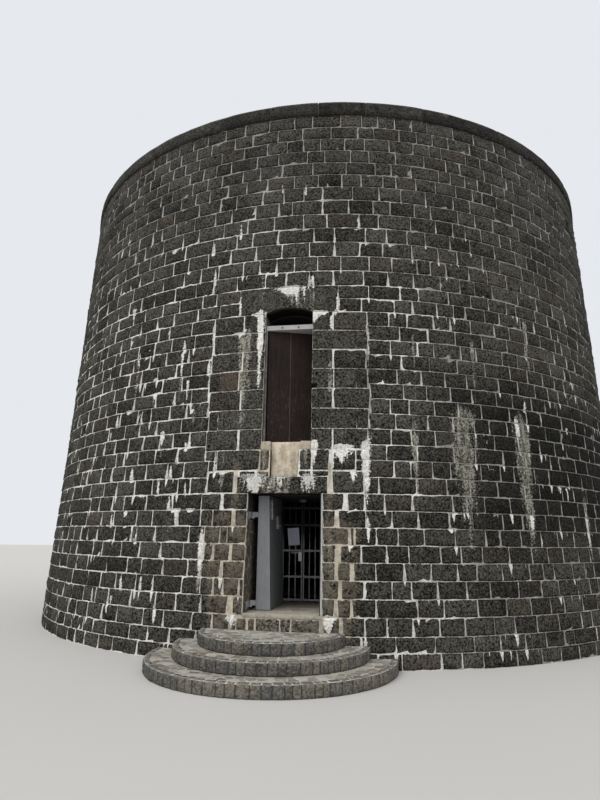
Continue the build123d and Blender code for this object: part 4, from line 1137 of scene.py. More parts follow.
class TOWER_OT_dressings(bpy.types.Operator):
    """Set the lintel, the arch stone, the jamb stones, the sill and the rendered chute"""

    bl_idname = "tower.dressings"
    bl_label = "Worked stones"

    def execute(self, context):
        dressed = basalt("dressed_basalt", 1.0, 0.9, shaded_reveals=True)
        (left, _, low), (right, _, high) = LINTEL_BOX
        outline = [(left + 0.03, low), (right - 0.02, low), (right, low + 0.03), (right, high - 0.05),
                   (right - 0.03, high), (left + 0.06, high), (left, high - 0.06), (left, low + 0.03)]
        lintel = worked_stone(outline, 0.41, 3.1, cell=0.036, arris=0.012, rough=0.009)
        piece("door_lintel_stone", merged([(lintel, 0.5, 0.0)]), dressed,
              stands_for=["door_lintel"])

        (left, _, low), (right, _, high) = ARCH_BOX
        radius = (UPPER_HALF ** 2 + ARCH_RISE ** 2) / (2 * ARCH_RISE)
        half_angle = math.asin(UPPER_HALF / radius)
        gap = 0.006
        outline = [(right, low + gap), (right, high - gap), (left, high - gap), (left, low + gap)]
        for index in range(13):
            angle = half_angle * (1 - (12 - index) / 6)
            soffit = low + ARCH_RISE - radius + radius * math.cos(angle)
            outline.append((radius * math.sin(angle), soffit + gap * 0.5))
        arch = worked_stone(outline, 0.34, 7.7, cell=0.042, rough=0.003)
        piece("upper_arch_block", merged([(arch, 0.62, 0.0)]), dressed,
              stands_for=["upper_arch_stone"])

        self.jamb_stones(-1, "upper_left_quoins", 0.345, 0.70, dressed)
        self.jamb_stones(1, "upper_right_quoins", 0.30, 0.65, dressed)
        self.sill_and_chute()
        return {"FINISHED"}

    def jamb_stones(self, side, name, short, long, dressed):
        """Short and long stones by turns; their returns line the doorway. The fourth course has two stones."""
        rng = np.random.default_rng(5 if side < 0 else 6)
        parts = []
        gap = 0.0035
        split, resumed = (0.385, 0.397) if side < 0 else (0.31, 0.32)
        for index in range(QUOIN_COURSES):
            length = short if index % 2 == 0 else long
            low = QUOIN_FOOT + index * QUOIN_HEIGHT + gap
            high = low + QUOIN_HEIGHT - 2 * gap
            ends = [(UPPER_HALF, UPPER_HALF + length - 0.006)]
            if index == 3:
                ends = [(UPPER_HALF, UPPER_HALF + split), (UPPER_HALF + resumed, UPPER_HALF + length - 0.006)]
            for inner, outer in ends:
                start, end = sorted((side * inner, side * outer))
                brown = 0.85 if side < 0 and inner > 0.5 else 0.0
                outline = box_outline(start, end, low, high)
                if side > 0 and index == 3 and inner == UPPER_HALF:
                    notch = start + 0.07, low + 0.075
                    outline = [(notch[0], low), *outline[1:], (start, notch[1]), notch]
                stone = worked_stone(outline, 0.38, 11.3 * index + side, cell=0.042, rough=0.0035, arris=0.005)
                parts.append((stone, float(rng.uniform(0.3, 0.8)), brown))
        piece(name + "_stones", merged(parts), dressed, stands_for=[name])
        bed = node_copy(name)
        for vert in bed.verts:
            radius = math.hypot(vert.co.x, vert.co.y)
            swell = fullness(vert.co.z)
            if radius > face_radius(vert.co.z) - swell - 0.004:
                vert.co.x *= 1 + (swell - 0.009) / radius
                vert.co.y *= 1 + (swell - 0.009) / radius
            if abs(vert.co.x) < UPPER_HALF + 0.004:
                vert.co.x = side * (UPPER_HALF + 0.006)
        if side > 0:
            self.bolt_pocket(bed, UPPER_HALF + 0.07, QUOIN_FOOT + 3 * QUOIN_HEIGHT)
        finishes = [bpy.data.materials["lime_mortar"], bpy.data.materials["passage_rubble"]]
        piece(name + "_bed", bed, finishes)

    def bolt_pocket(self, bed, end, foot):
        """Pushes the bed back behind the notch in the jamb, where the door's bolt goes."""
        thin, depth = 0.0005, 0.13
        head = foot + 0.078
        for x, z in ((end, 0), (end + thin, 0), (0, foot), (0, foot + thin), (0, head), (0, head + thin)):
            cut(bed, (x, 0, z), (1, 0, 0) if x else (0, 0, 1), dist=thin / 5)
        for vert in bed.verts:
            x, y, z = vert.co
            front = math.hypot(x, y) > face_radius(z) - 0.02
            if front and x < end + thin / 2 and foot + thin / 2 < z < head + thin / 2:
                vert.co.y += depth
        for face in bed.faces:
            x, y, z = face.calc_center_median()
            inside = math.hypot(x, y) < face_radius(z) - 0.015
            face.material_index = int(inside and x < end + 2 * thin and foot < z < head + thin)

    def sill_and_chute(self):
        """The sill's two ends and the stone between them, and the lime render that runs down under it."""
        cream_stone = render_finish("sill_stone", (0.44, 0.38, 0.29, 1), (0.22, 0.18, 0.13, 1), 34.0, 0.003)
        low, high = SILL_BOX[0].z, SILL_BOX[1].z
        parts = []
        for left, right, seed in ((-UPPER_HALF, -0.228, 1.0), (0.208, UPPER_HALF, 2.0)):
            outline = box_outline(left, right, low, high)
            parts.append((worked_stone(outline, 0.29, seed, arris=0.008, rough=0.006), 0.5, 0))
        back = worked_stone(box_outline(-0.226, 0.206, low, high), 0.16, 9.0, arris=0.01, rough=0.003,
                            flat_front=-face_radius(2.47) + 0.131)
        parts.append((back, 0.5, 0))
        piece("upper_sill_stones", merged(parts), cream_stone, stands_for=["upper_sill"])
        render = render_finish("chute_lime", (0.66, 0.58, 0.45, 1), (0.36, 0.29, 0.21, 1), 22.0, 0.006)
        low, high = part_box("chute_render")
        left, foot, head = low.x + 0.002, low.z + 0.001, high.z - 0.002
        slab = worked_stone([(left, foot), (0.173, foot), (0.203, head), (left, head)], high.y - low.y - 0.002, 21.0,
                            cell=0.045, arris=0.004, rough=0.006, setback=0.001, flat_front=low.y)
        piece("chute_lime_render", merged([(slab, 0.5, 0)]), render, stands_for=["chute_render"])


class TOWER_OT_roof(bpy.types.Operator):
    """Set the coping's cap stones and the flags of the gun platform"""

    bl_idname = "tower.roof"
    bl_label = "Coping and platform"

    def execute(self, context):
        self.coping(context.scene.tower_masonry)
        self.platform(context.scene.tower_masonry)
        return {"FINISHED"}

    def coping(self, sizes):
        """Cap stones with a worn outer arris, each a little out of line, on a bed of mortar."""
        rng = np.random.default_rng(sizes.seed + 1)
        foot, top, fall = PARAPET_TOP, COPING_TOP, 0.025
        inner, outer = COPING_INNER, COPING_OUTER
        section = [
            (inner, foot), (inner + 0.5, foot), (outer - 0.2, foot), (outer, foot), (outer, foot + 0.10),
            (outer, top - fall - 0.06), (outer - 0.018, top - fall - 0.018), (outer - 0.06, top - fall),
            (outer - 0.35, top - fall * 0.75), (outer - 0.70, top - fall * 0.45), (inner + 0.25, top - fall * 0.15),
            (inner + 0.02, top), (inner, top - 0.02), (inner, foot + 0.13),
        ]
        bm = bmesh.new()
        face = bm.faces.new([bm.verts.new((radius, 0, z)) for radius, z in section])
        bmesh.ops.spin(bm, geom=[face, *face.edges, *face.verts], cent=(0, 0, 0), axis=(0, 0, 1), angle=1.0, steps=6,
                       use_duplicate=False)
        bmesh.ops.recalc_face_normals(bm, faces=bm.faces[:])
        bm.verts.index_update()
        co = np.array([vert.co for vert in bm.verts])
        faces = [[vert.index for vert in item.verts] for item in bm.faces]
        bm.free()
        share = np.arctan2(co[:, 1], co[:, 0])
        radius = np.hypot(co[:, 0], co[:, 1])
        ends = (share < 0.01) | (share > 0.99)
        widths = rng.uniform(0.85, 1.18, sizes.cap_stones)
        edges = np.concatenate([[0], np.cumsum(widths)]) / widths.sum() * 2 * math.pi + 0.07
        points, polygons, tones = [], [], []
        joint = 0.011 / outer
        for index in range(sizes.cap_stones):
            start, end = edges[index] + joint / 2, edges[index + 1] - joint / 2
            shifted = radius - np.where(ends, 0.004, 0.0) - rng.uniform(0, 0.003)
            shifted = np.minimum(shifted + rng.normal(0, 0.0012, len(radius)), outer)
            height = co[:, 2] + rng.normal(0, 0.0012, len(radius)) - rng.uniform(0.0, 0.002)
            height = np.where(co[:, 2] < foot + 0.01, foot + 0.001, np.minimum(height, top))
            points.append(around_axis(start + (end - start) * share, shifted, height))
            polygons += [[corner + index * len(co) for corner in item[::-1]] for item in faces]
            tones.append(np.full(len(co), rng.uniform(0, 1)))
        mesh = bpy.data.meshes.new("coping_stones")
        mesh.from_pydata(np.concatenate(points).tolist(), [], polygons)
        mesh.polygons.foreach_set("use_smooth", np.ones(len(polygons), bool))
        tones = np.concatenate(tones)
        note(mesh, "stone", tones, 0, tones)
        bm = bmesh.new()
        bm.from_mesh(mesh)
        bmesh.ops.recalc_face_normals(bm, faces=bm.faces[:])
        bm.to_mesh(mesh)
        bm.free()
        piece("coping_stones", mesh, coping_finish(), stands_for=["coping"])
        bed = bmesh.new()
        profile = [
            (inner + 0.03, foot + 0.01), (outer - 0.02, foot + 0.01), (outer - 0.02, top - 0.07),
            (outer - 0.075, top - fall - 0.012), (inner + 0.03, top - 0.012),
        ]
        ring = [bed.verts.new((radius, 0, z)) for radius, z in profile]
        lines = [bed.edges.new((a, b)) for a, b in zip(ring, ring[1:] + ring[:1])]
        bmesh.ops.spin(bed, geom=ring + lines, cent=(0, 0, 0), axis=(0, 0, 1), angle=2 * math.pi, steps=120,
                       use_merge=True)
        piece("coping_bed", welded(bed, True), bpy.data.materials["lime_mortar"])

    def platform(self, sizes):
        """Rings of flags round a centre stone, bedded a little below their faces."""
        rng = np.random.default_rng(sizes.seed + 2)
        rings, inner, gap = 8, 0.42, 0.005
        width = (PARAPET_INNER - 0.012 - inner) / rings
        rows = []
        for ring in range(rings):
            low = inner + ring * width
            high = low + width
            around = 2 * math.pi * (low + high) / 2
            start = rng.uniform(0, 1)
            cuts = split_run(start, start + around, np.array([]), rng, sizes.flag_length)
            rows += [((a + gap) / around * 2 * math.pi, (b - gap) / around * 2 * math.pi, low + gap, high - gap)
                     for a, b in zip(cuts, cuts[1:])]
        rows = np.array(rows)
        flags = slab_finish("platform_paving", (0.15, 0.145, 0.13, 1), (0.060, 0.056, 0.050, 1))
        mesh = cut_stones("platform_flags", rows, (rows[:, 2] + rows[:, 3]) / 2, on_platform, rng, flipped=True,
                          rough=0.0012, drop=0.004, tilt=0.002, bulge=0.0, wander=0.002, thickness=0.03, brown=0.0)
        piece("platform_flags", mesh, flags)
        bm = bmesh.new()
        bmesh.ops.create_circle(bm, cap_ends=True, segments=28, radius=inner - 0.008)
        thicken(bm, (0, 0, 0.03))
        bmesh.ops.recalc_face_normals(bm, faces=bm.faces[:])
        round_edges(bm, sharp_edges(bm), 0.006)
        bmesh.ops.translate(bm, vec=(0, 0, PLATFORM_TOP - 0.032), verts=bm.verts[:])
        piece("platform_centre_stone", welded(bm), flags)
        bed = node_copy("gun_platform")
        for vert in bed.verts:
            if vert.co.z > PLATFORM_TOP - 0.005:
                vert.co.z -= 0.012
        piece("gun_platform_bed", bed, bpy.data.materials["lime_mortar"],
              stands_for=["gun_platform"])


def coping_finish():
    """Smoother weathered basalt of the cap stones, greyer on top, streaked under the arris."""
    f = Finish("coping_basalt")
    tone, _, _ = f.attribute("stone")
    cloud = f.noise(1.4, 3.0)
    patch = f.noise(8.0, 4.0, 0.65)
    lumps = f.noise(34.0, 3.0, 0.7)
    streaks = f.noise(14.0, 3.0, 0.6, stretch=drawn_out(2, 0.15))
    level = (tone * 0.35 + patch * 0.8 + cloud * 0.4 - 0.35).ramp(0.0, 1.0)
    base = f.mix(level, (0.022, 0.0205, 0.018, 1), (0.086, 0.082, 0.073, 1))
    top = f.z.ramp(8.70, 8.76)
    base = f.mix(top * 0.6, base, (0.15, 0.145, 0.13, 1))
    base = f.mix(streaks.ramp(0.58, 0.75) * 0.4, base, (0.10, 0.095, 0.083, 1))
    base = f.mix(lumps.ramp(0.52, 0.42) * 0.8, base, (0.006, 0.0055, 0.005, 1))
    base = f.mix(f.noise(4.5, 5.0, 0.7).ramp(0.60, 0.68) * 0.45, base, (0.14, 0.14, 0.115, 1))
    return f.surface(base, 0.95, patch * 0.016 + lumps * 0.014, specular=0.08)


class TOWER_OT_rooms(bpy.types.Operator):
    """Give the floors, the vault and the threshold their finishes"""

    bl_idname = "tower.rooms"
    bl_label = "Floors and vault"

    def execute(self, context):
        screed = render_finish("floor_screed", (0.36, 0.33, 0.27, 1), (0.19, 0.17, 0.14, 1), 20.0, 0.003, 0.0)
        upper = render_finish("upper_floor_stone", (0.25, 0.23, 0.20, 1), (0.12, 0.11, 0.09, 1), 20.0, 0.003, 0.0)
        vault = plaster_finish("vault_stone", (0.17, 0.155, 0.13, 1), (0.08, 0.072, 0.06, 1))
        for node, finish in (("ground_floor", screed), ("first_floor", upper), ("roof_vault", vault)):
            dress_node(node, finish)
        threshold = render_finish("threshold_stone", (0.40, 0.37, 0.30, 1), (0.20, 0.175, 0.14, 1), 30.0, 0.002, 0.3)
        low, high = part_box("threshold_slab")
        slab = worked_stone(box_outline(-DOOR_HALF, DOOR_HALF, low.z + 0.001, high.z), high.y - low.y, 4.4, cell=0.08,
                            arris=0.006, rough=0.004)
        for vert in slab.verts:
            vert.co.x = max(-DOOR_HALF, min(DOOR_HALF, vert.co.x))
            vert.co.z = min(high.z, vert.co.z)
            if vert.co.y > high.y - 0.1:
                vert.co.y = -math.sqrt(ROOM_RADIUS ** 2 - vert.co.x ** 2)
        piece("threshold_stone", merged([(slab, 0.5, 0)]), threshold, stands_for=["threshold_slab"])
        return {"FINISHED"}


class TOWER_OT_steps(bpy.types.Operator):
    """Lay the three round steps: setts in the risers and broken paving on the treads"""

    bl_idname = "tower.steps"
    bl_label = "Round steps"

    def execute(self, context):
        sizes = context.scene.tower_masonry
        rng = np.random.default_rng(sizes.seed + 3)
        sett = basalt("step_sett", 2.5, 0.6, marked=False, trodden=True)
        paving = slab_finish("step_paving", (0.42, 0.39, 0.335, 1), (0.155, 0.143, 0.118, 1), 14.0)
        joint = render_finish("step_mortar", (0.62, 0.59, 0.52, 1), (0.15, 0.135, 0.11, 1), 18.0, 0.004, 0.0, 0.05)
        soil = (0.060, 0.054, 0.046, 1), (0.025, 0.023, 0.020, 1)
        dark = render_finish("step_riser_joint", *soil, 40.0, 0.003, 0.0)
        shapes = []
        for node in STEPS:
            low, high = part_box(node)
            radius = (high.x - low.x) / 2
            shapes.append((Vector(((low.x + high.x) / 2, low.y + radius, 0)), radius, low.z, high.z))
        for index, (node, (centre, radius, foot, head)) in enumerate(zip(STEPS, shapes)):
            self.core(node, centre, radius, foot, head, [joint, dark])
            self.setts(node, centre, radius, foot, head, sizes, rng, sett)
            inner = shapes[index + 1][1] - 0.16 if index < 2 else 0.0
            self.paving(node, centre, radius - 0.070, inner, head, sizes, rng, paving)
        return {"FINISHED"}

    def core(self, node, centre, radius, foot, head, finishes):
        """The bedding behind the setts and under the paving: a copy of the step, pared by the joint's depth."""
        bm = node_copy(node)
        for vert in bm.verts:
            away = Vector((vert.co.x - centre.x, vert.co.y - centre.y, 0))
            if away.length > radius - 0.03:
                spot = centre + away * (radius - 0.014) / away.length
                vert.co.x, vert.co.y = spot.x, spot.y
                if foot + 0.05 < vert.co.z < head - 0.002:
                    vert.co.z = head - 0.010
            if vert.co.z > head - 0.004:
                vert.co.z = head - 0.003
        for face in bm.faces:
            face.material_index = 0 if face.normal.z > 0.7 else 1
        piece(node + "_bed", bm, finishes, stands_for=[node])

    def setts(self, node, centre, radius, foot, head, sizes, rng, finish):
        """Upright setts round the riser, with a worn nosing."""
        wall = face_radius(foot + 0.1)
        apart = centre.length
        half = math.acos((wall ** 2 - apart ** 2 - radius ** 2) / (2 * apart * radius)) - 0.006
        towards = math.atan2(centre.x, -centre.y)
        cuts = np.array(split_run(-half * radius, half * radius, np.array([]), rng, sizes.sett_length)) / radius
        gap = 0.005 / radius
        rows = np.array([
            (a + gap + towards, b - gap + towards, foot + 0.003, head - 0.0005) for a, b in zip(cuts, cuts[1:])
        ])

        def round_riser(azimuth, height, depth):
            outward = np.minimum(radius - 0.006 + depth, radius - 0.0005)
            nose = np.clip((height - (head - 0.022)) / 0.022, 0, 1)
            return around_axis(azimuth, outward - 0.010 * nose ** 2, np.maximum(height, 0.0005)) + np.array(centre)

        mesh = cut_stones(node + "_setts", rows, np.full(len(rows), radius), round_riser, rng, columns=4, rows=6,
                          margin=0.010, drop=0.006, bulge=0.003, rough=0.0045, wander=0.0018, thickness=0.075,
                          brown=0.05)
        piece(node + "_setts", mesh, finish)

    def paving(self, node, centre, outer, inner, top, sizes, rng, finish):
        """Broken slabs fitted together: each is cut from a sheet by the lines half-way to its neighbours."""
        spacing = sizes.slab_length
        seeds = []
        reach = math.ceil(outer / spacing) + 1
        for row in range(-reach, reach + 1):
            for column in range(-reach, reach + 1):
                x = (column + 0.5 * (row % 2)) * spacing + rng.normal(0, spacing * 0.24)
                y = row * spacing * 0.87 + rng.normal(0, spacing * 0.24)
                seeds.append(Vector((x, y, 0)))
        laid = bmesh.new()
        stone = laid.verts.layers.float_vector.new("stone")
        wall = face_radius(top) + 0.004
        for seed in seeds:
            spot = centre + seed
            if not inner - spacing < seed.length < outer + spacing * 0.4 or spot.length < wall - spacing * 0.3:
                continue
            cuts = []
            for other in seeds:
                away = other - seed
                if 0 < away.length < spacing * 2.4:
                    cuts.append((seed + away / 2 - away.normalized() * 0.0065, away.normalized()))
            bearing = math.atan2(seed.y, seed.x)
            for turn in (-0.16, -0.05, 0.05, 0.16):
                outwards = Vector((math.cos(bearing + turn), math.sin(bearing + turn), 0))
                cuts.append((outwards * (outer - 0.003), outwards))
            inwards = -spot.normalized()
            cuts.append((-centre - inwards * wall, inwards))
            slab = self.slab(seed, spacing, cuts)
            if slab is None:
                continue
            tone, drop = rng.uniform(0, 1), rng.uniform(0.0, 0.0012)
            rusty = 1.0 if rng.uniform() < 0.05 else 0.0
            lean = Vector((rng.normal(0, 0.003), rng.normal(0, 0.003), 0))
            copies = {}
            for vert in slab.verts:
                fall = min(0.0, (vert.co - seed).dot(lean) - 0.0005)
                place = Vector((centre.x + vert.co.x, centre.y + vert.co.y, top - 0.0205 - drop + vert.co.z + fall))
                copies[vert] = laid.verts.new(place)
                copies[vert][stone] = (tone, rusty, 0.5)
            for face in slab.faces:
                laid.faces.new([copies[vert] for vert in face.verts]).smooth = False
            slab.free()
        piece(node + "_paving", laid, finish)

    def slab(self, seed, spacing, cuts):
        """One slab round a seed, with its upper edges worn round; none where hardly anything is left."""
        bm = bmesh.new()
        bmesh.ops.create_grid(bm, x_segments=1, y_segments=1, size=spacing * 1.2)
        bmesh.ops.translate(bm, vec=seed, verts=bm.verts[:])
        for point, normal in cuts:
            cut(bm, point, normal, clear_outer=True)
        bmesh.ops.remove_doubles(bm, verts=bm.verts[:], dist=0.006)
        if sum(face.calc_area() for face in bm.faces) < 0.0015:
            bm.free()
            return None
        lifted = thicken(bm, (0, 0, 0.02))
        bmesh.ops.recalc_face_normals(bm, faces=bm.faces[:])
        round_edges(bm, [edge for edge in bm.edges if all(vert in lifted for vert in edge.verts)], 0.0025)
        return bm


class TOWER_OT_entrance_door(bpy.types.Operator):
    """Build the heavy painted leaf, its ironwork and the painted stop"""

    bl_idname = "tower.entrance_door"
    bl_label = "Entrance door"

    def execute(self, context):
        low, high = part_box("door_leaf")
        # The leaf's side that faces the passage is painted darker, as shade.
        paint = painted_timber("grey_painted_timber", colour("door_paint"), (0.30, 0.31, 0.32, 1), 2, low.y + 0.006)
        iron = iron_finish("grey_painted_iron", colour("door_paint", 1.25), (0.16, 0.07, 0.03, 1))
        thick = high.x - low.x
        head_share = (thick - 0.05) / thick
        boards = 5
        width = (high.y - low.y) / boards
        layers = (0.0, thick - 0.084, thick - 0.056, thick - 0.028, thick)
        bm = bmesh.new()
        for index in range(boards):
            start = low.y + index * width
            for near, far in zip(layers, layers[1:]) if index == 0 else ((0.0, thick),):
                centre = (low.x + (near + far) / 2, start + width / 2, (low.z + high.z) / 2)
                add_block(bm, (far - near, width - 0.0008, high.z - low.z), centre)
        round_edges(bm, bm.edges[:], 0.0035)
        for vert in bm.verts:
            share = (vert.co.z - low.z) / (high.z - low.z)
            vert.co.x = low.x + (vert.co.x - low.x) * (1 + share * (head_share - 1))
        piece("door_leaf_boards", welded(bm), paint, "entrance_door", ["door_leaf"])
        for node in ("door_straps", "door_bolt", "door_lock", "door_pintles"):
            dress_node(node, iron)
        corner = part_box("door_stop")[1].x
        stop = part_painted_timber(
            "stop_timber", "x", corner - 0.020, corner - 0.016,
            ((0.34, 0.34, 0.33, 1), (0.50, 0.50, 0.48, 1)), ((0.010, 0.010, 0.010, 1), (0.035, 0.033, 0.031, 1)),
        )
        dress_node("door_stop", stop)
        self.strap_bolts(iron)
        return {"FINISHED"}

    def strap_bolts(self, iron):
        """Round heads along both straps."""
        low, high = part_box("door_straps")
        bm = bmesh.new()
        for height in (low.z + 0.035, high.z - 0.035):
            for along in (0.12, 0.27, 0.42, 0.57):
                centre = (-0.4453 - 0.0033, low.y + along, height)
                add_head(bm, centre, (-90, "Y"), segments=10, radius1=0.011, radius2=0.006, depth=0.007)
        piece("door_strap_bolts", welded(bm), iron, "entrance_door")


class TOWER_OT_gate(bpy.types.Operator):
    """Finish the iron gate, its lock and sheet, and the passage lamp"""

    bl_idname = "tower.gate"
    bl_label = "Gate and lamp"

    def execute(self, context):
        # The bars are painted dark above 1.5 m, as shade.
        iron = iron_finish("gate_iron", (0.40, 0.40, 0.41, 1), (0.15, 0.06, 0.03, 1), 0.0, 0.6, 1.5)
        for node in ("gate_leaf_left", "gate_leaf_right", "gate_hinges"):
            dress_node(node, iron)
        dress_node("gate_lock", iron_finish("lock_steel", (0.50, 0.50, 0.50, 1), (0.16, 0.08, 0.04, 1), 0.8, 0.2))
        dress_node("passage_lamp", lamp_finish())
        low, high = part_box("notice_sheet")
        bm = bmesh.new()
        bmesh.ops.create_grid(bm, x_segments=14, y_segments=20, size=0.5)
        for vert in bm.verts:
            u, v = vert.co.x + 0.5, vert.co.y + 0.5
            curl = 0.004 * (abs(2 * u - 1) ** 3) * (0.3 + 0.7 * (1 - v)) + 0.0015 * math.sin(5.5 * v + 1.3 * u)
            x = (low.x + high.x) / 2 + (u - 0.5) * SHEET_WIDTH - (v - 0.5) * 0.022
            z = (low.z + high.z) / 2 + (v - 0.5) * SHEET_HEIGHT + (u - 0.5) * 0.015
            vert.co = (x, high.y - 0.0016 - max(0.0, curl), z)
        sheet = piece("notice_paper_sheet", bm, paper_finish(), "left_gate", ["notice_sheet"])
        thick = sheet.modifiers.new("Thickness", "SOLIDIFY")
        thick.thickness = 0.0006
        thick.offset = 0.0
        return {"FINISHED"}


class TOWER_OT_upper_door(bpy.types.Operator):
    """Build the boarded upper door, its post and the bolted transom beam"""

    bl_idname = "tower.upper_door"
    bl_label = "Upper door"

    def execute(self, context):
        wood = bare_timber("upper_door_timber", (0.028, 0.017, 0.014, 1), (0.010, 0.007, 0.006, 1),
                           (0.13, 0.10, 0.09, 1))
        pale = painted_timber("transom_timber", (0.37, 0.35, 0.345, 1), (0.30, 0.25, 0.21, 1), 0)
        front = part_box("upper_post")[0].y
        dress_node("upper_post", part_painted_timber(
            "post_timber", "y", front + 0.006, front + 0.002,
            ((0.10, 0.095, 0.085, 1), (0.24, 0.235, 0.22, 1)), ((0.010, 0.008, 0.007, 1), (0.030, 0.023, 0.020, 1)),
        ))
        low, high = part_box("upper_transom")
        bm = bmesh.new()
        add_block(bm, high - low - Vector((0.0006, 0, 0.0006)), (0, 0, 0))
        along = [edge for edge in bm.edges if abs((edge.verts[0].co - edge.verts[1].co).x) > 0.1]
        bmesh.ops.subdivide_edges(bm, edges=along, cuts=12, use_grid_fill=True)
        round_edges(bm, sharp_edges(bm), 0.004)
        bmesh.ops.translate(bm, vec=(low + high) / 2, verts=bm.verts[:])
        for vert in bm.verts:
            wave = noise.noise(Vector((vert.co.x * 4, vert.co.y * 2, vert.co.z * 6)))
            if vert.co.y < low.y + 0.05:
                vert.co.y = max(low.y, vert.co.y + 0.003 * abs(wave))
        piece("upper_transom_beam", welded(bm), pale, stands_for=["upper_transom"])
        bolts = bmesh.new()
        for x in (-0.11, 0.14):
            centre = (x, low.y - 0.004, (low.z + high.z) / 2)
            add_head(bolts, centre, (90, "X"), segments=6, radius1=0.014, radius2=0.012, depth=0.012)
        dark = iron_finish("transom_bolt_iron", (0.05, 0.045, 0.04, 1), (0.12, 0.05, 0.025, 1), 0.3, 0.8)
        piece("upper_transom_bolts", welded(bolts), dark)
        self.boards(wood)
        return {"FINISHED"}

    def boards(self, wood):
        """Two wide boards edge to edge on two ledges, standing ajar on the left post."""
        low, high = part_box("upper_door")
        tall = high.z - low.z
        ajar = math.radians(18.0)
        thickness, width, ledge = 0.05, 0.675, 0.012
        corner = Vector((low.x + thickness * math.sin(ajar), low.y, low.z))
        turn = Matrix.Translation(corner) @ Matrix.Rotation(ajar, 4, "Z")
        bm = bmesh.new()
        for start, end, set_back in ((0.0, 0.335, 0.0), (0.339, width, 0.0015)):
            centre = ((start + end) / 2, (thickness - ledge) / 2 + set_back, tall / 2)
            add_block(bm, (end - start, thickness - ledge, tall - 0.002), centre)
        for height in (0.25, 1.40):
            add_block(bm, (width - 0.06, ledge, 0.13), (width / 2, thickness - ledge / 2, height))
        round_edges(bm, bm.edges[:], 0.003)
        bmesh.ops.transform(bm, matrix=turn, verts=bm.verts[:])
        piece("upper_door_boards", welded(bm), wood, stands_for=["upper_door"])
        strip = bmesh.new()
        add_block(strip, (0.0076, 0.010, tall - 0.03), (0, 0, 0))
        round_edges(strip, strip.edges[:], 0.002)
        bmesh.ops.translate(strip, vec=(0.337, 0.0045, tall / 2), verts=strip.verts[:])
        bmesh.ops.transform(strip, matrix=turn, verts=strip.verts[:])
        pale = bare_timber("upper_door_strip", (0.15, 0.105, 0.095, 1), (0.06, 0.045, 0.04, 1), (0.25, 0.2, 0.18, 1))
        piece("upper_door_strip", welded(strip), pale)


# The fitted camera: its place, its heading, pitch and roll in degrees, and its focal length in pixels of the view
CAMERA_PLACE = (1.523, -14.02, 1.641)
CAMERA_TURN = (-9.35, 13.31, 0.78)
FOCAL_PIXELS, VIEW_HEIGHT = 581.7, 800.0


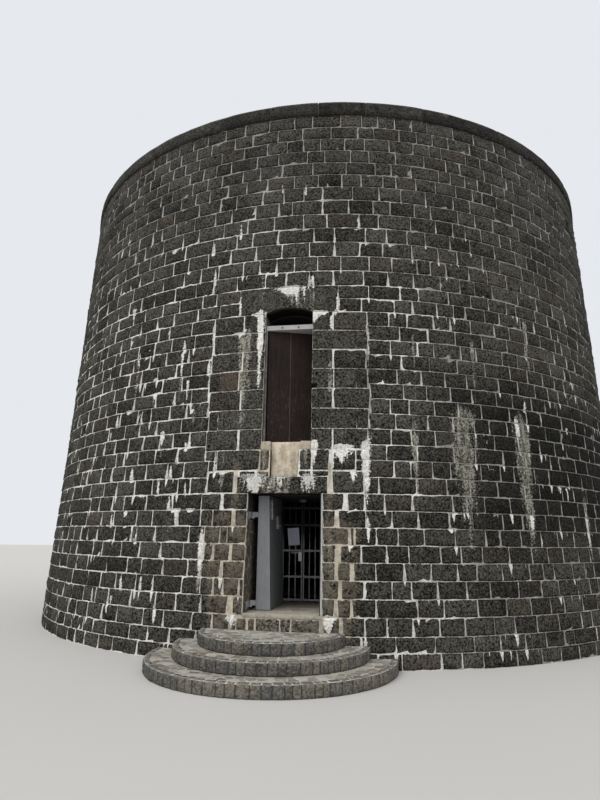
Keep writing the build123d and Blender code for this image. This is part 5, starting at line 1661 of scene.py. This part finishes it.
class TOWER_OT_stage(bpy.types.Operator):
    """Set the plain pale floor, the soft light and the camera"""

    bl_idname = "tower.stage"
    bl_label = "Floor, light and camera"

    def execute(self, context):
        scene = context.scene
        bm = bmesh.new()
        bmesh.ops.create_circle(bm, cap_ends=True, segments=96, radius=90.0)
        floor = bpy.data.objects.new("studio_floor", mesh_of(bm, "studio_floor"))
        scene.collection.objects.link(floor)
        f = Finish("studio_floor")
        tone = f.noise(0.35, 2.0)
        floor.data.materials.append(f.surface(f.mix(tone, colour("floor", 0.97), colour("floor")), 0.9))

        world = bpy.data.worlds.new("studio_sky")
        scene.world = world
        world.use_nodes = True
        sky = world.node_tree.nodes["Background"].inputs
        sky["Color"].default_value = (0.93, 0.96, 1.0, 1)
        sky["Strength"].default_value = 0.85
        scene.view_settings.view_transform = "Standard"

        for name, turn, strength, spread in (
            ("key", (34, 0, -32), 1.5, 40), ("fill", (60, 0, 40), 0.35, 60),
        ):
            light = bpy.data.lights.new(name, "SUN")
            light.energy = strength
            light.angle = math.radians(spread)
            lamp = bpy.data.objects.new(name, light)
            lamp.rotation_euler = [math.radians(part) for part in turn]
            scene.collection.objects.link(lamp)

        heading, pitch, roll = (math.radians(angle) for angle in CAMERA_TURN)
        forward = Vector((math.sin(heading) * math.cos(pitch), math.cos(heading) * math.cos(pitch), math.sin(pitch)))
        level = Vector((math.cos(heading), -math.sin(heading), 0))
        above = level.cross(forward)
        right = level * math.cos(roll) + above * math.sin(roll)
        up = above * math.cos(roll) - level * math.sin(roll)
        data = bpy.data.cameras.new("view_camera")
        data.sensor_width = 36.0
        data.lens = FOCAL_PIXELS * data.sensor_width / VIEW_HEIGHT
        data.clip_end = 500.0
        camera = bpy.data.objects.new("view_camera", data)
        turn = Matrix((right, up, -forward)).transposed().to_4x4()
        camera.matrix_world = Matrix.Translation(CAMERA_PLACE) @ turn
        scene.collection.objects.link(camera)
        scene.camera = camera
        return {"FINISHED"}


class TOWER_PT_panel(bpy.types.Panel):
    """Sizes, colours and the steps of building the tower"""

    bl_idname = "TOWER_PT_panel"
    bl_label = "Round gun tower"
    bl_space_type = "VIEW_3D"
    bl_region_type = "UI"
    bl_category = "Tower"

    def draw(self, context):
        for group in (context.scene.tower_masonry, context.scene.tower_colours):
            box = self.layout.box()
            for name in group.bl_rna.properties.keys():
                if name not in ("rna_type", "name"):
                    box.prop(group, name)
        for operator in OPERATORS:
            self.layout.operator(operator.bl_idname)


OPERATORS = (
    TOWER_OT_stage, TOWER_OT_wall, TOWER_OT_dressings, TOWER_OT_roof, TOWER_OT_rooms, TOWER_OT_steps,
    TOWER_OT_entrance_door, TOWER_OT_gate, TOWER_OT_upper_door,
)
CLASSES = (TowerMasonry, TowerColours, *OPERATORS, TOWER_PT_panel)


def register():
    for item in CLASSES:
        bpy.utils.register_class(item)
    bpy.types.Scene.tower_masonry = PointerProperty(type=TowerMasonry)
    bpy.types.Scene.tower_colours = PointerProperty(type=TowerColours)


def unregister():
    del bpy.types.Scene.tower_masonry
    del bpy.types.Scene.tower_colours
    for item in reversed(CLASSES):
        bpy.utils.unregister_class(item)


def main():
    register()
    bpy.ops.tower.stage()
    bpy.ops.tower.wall()
    bpy.ops.tower.dressings()
    bpy.ops.tower.roof()
    bpy.ops.tower.rooms()
    bpy.ops.tower.steps()
    bpy.ops.tower.entrance_door()
    bpy.ops.tower.gate()
    bpy.ops.tower.upper_door()


if __name__ == "__main__":
    main()
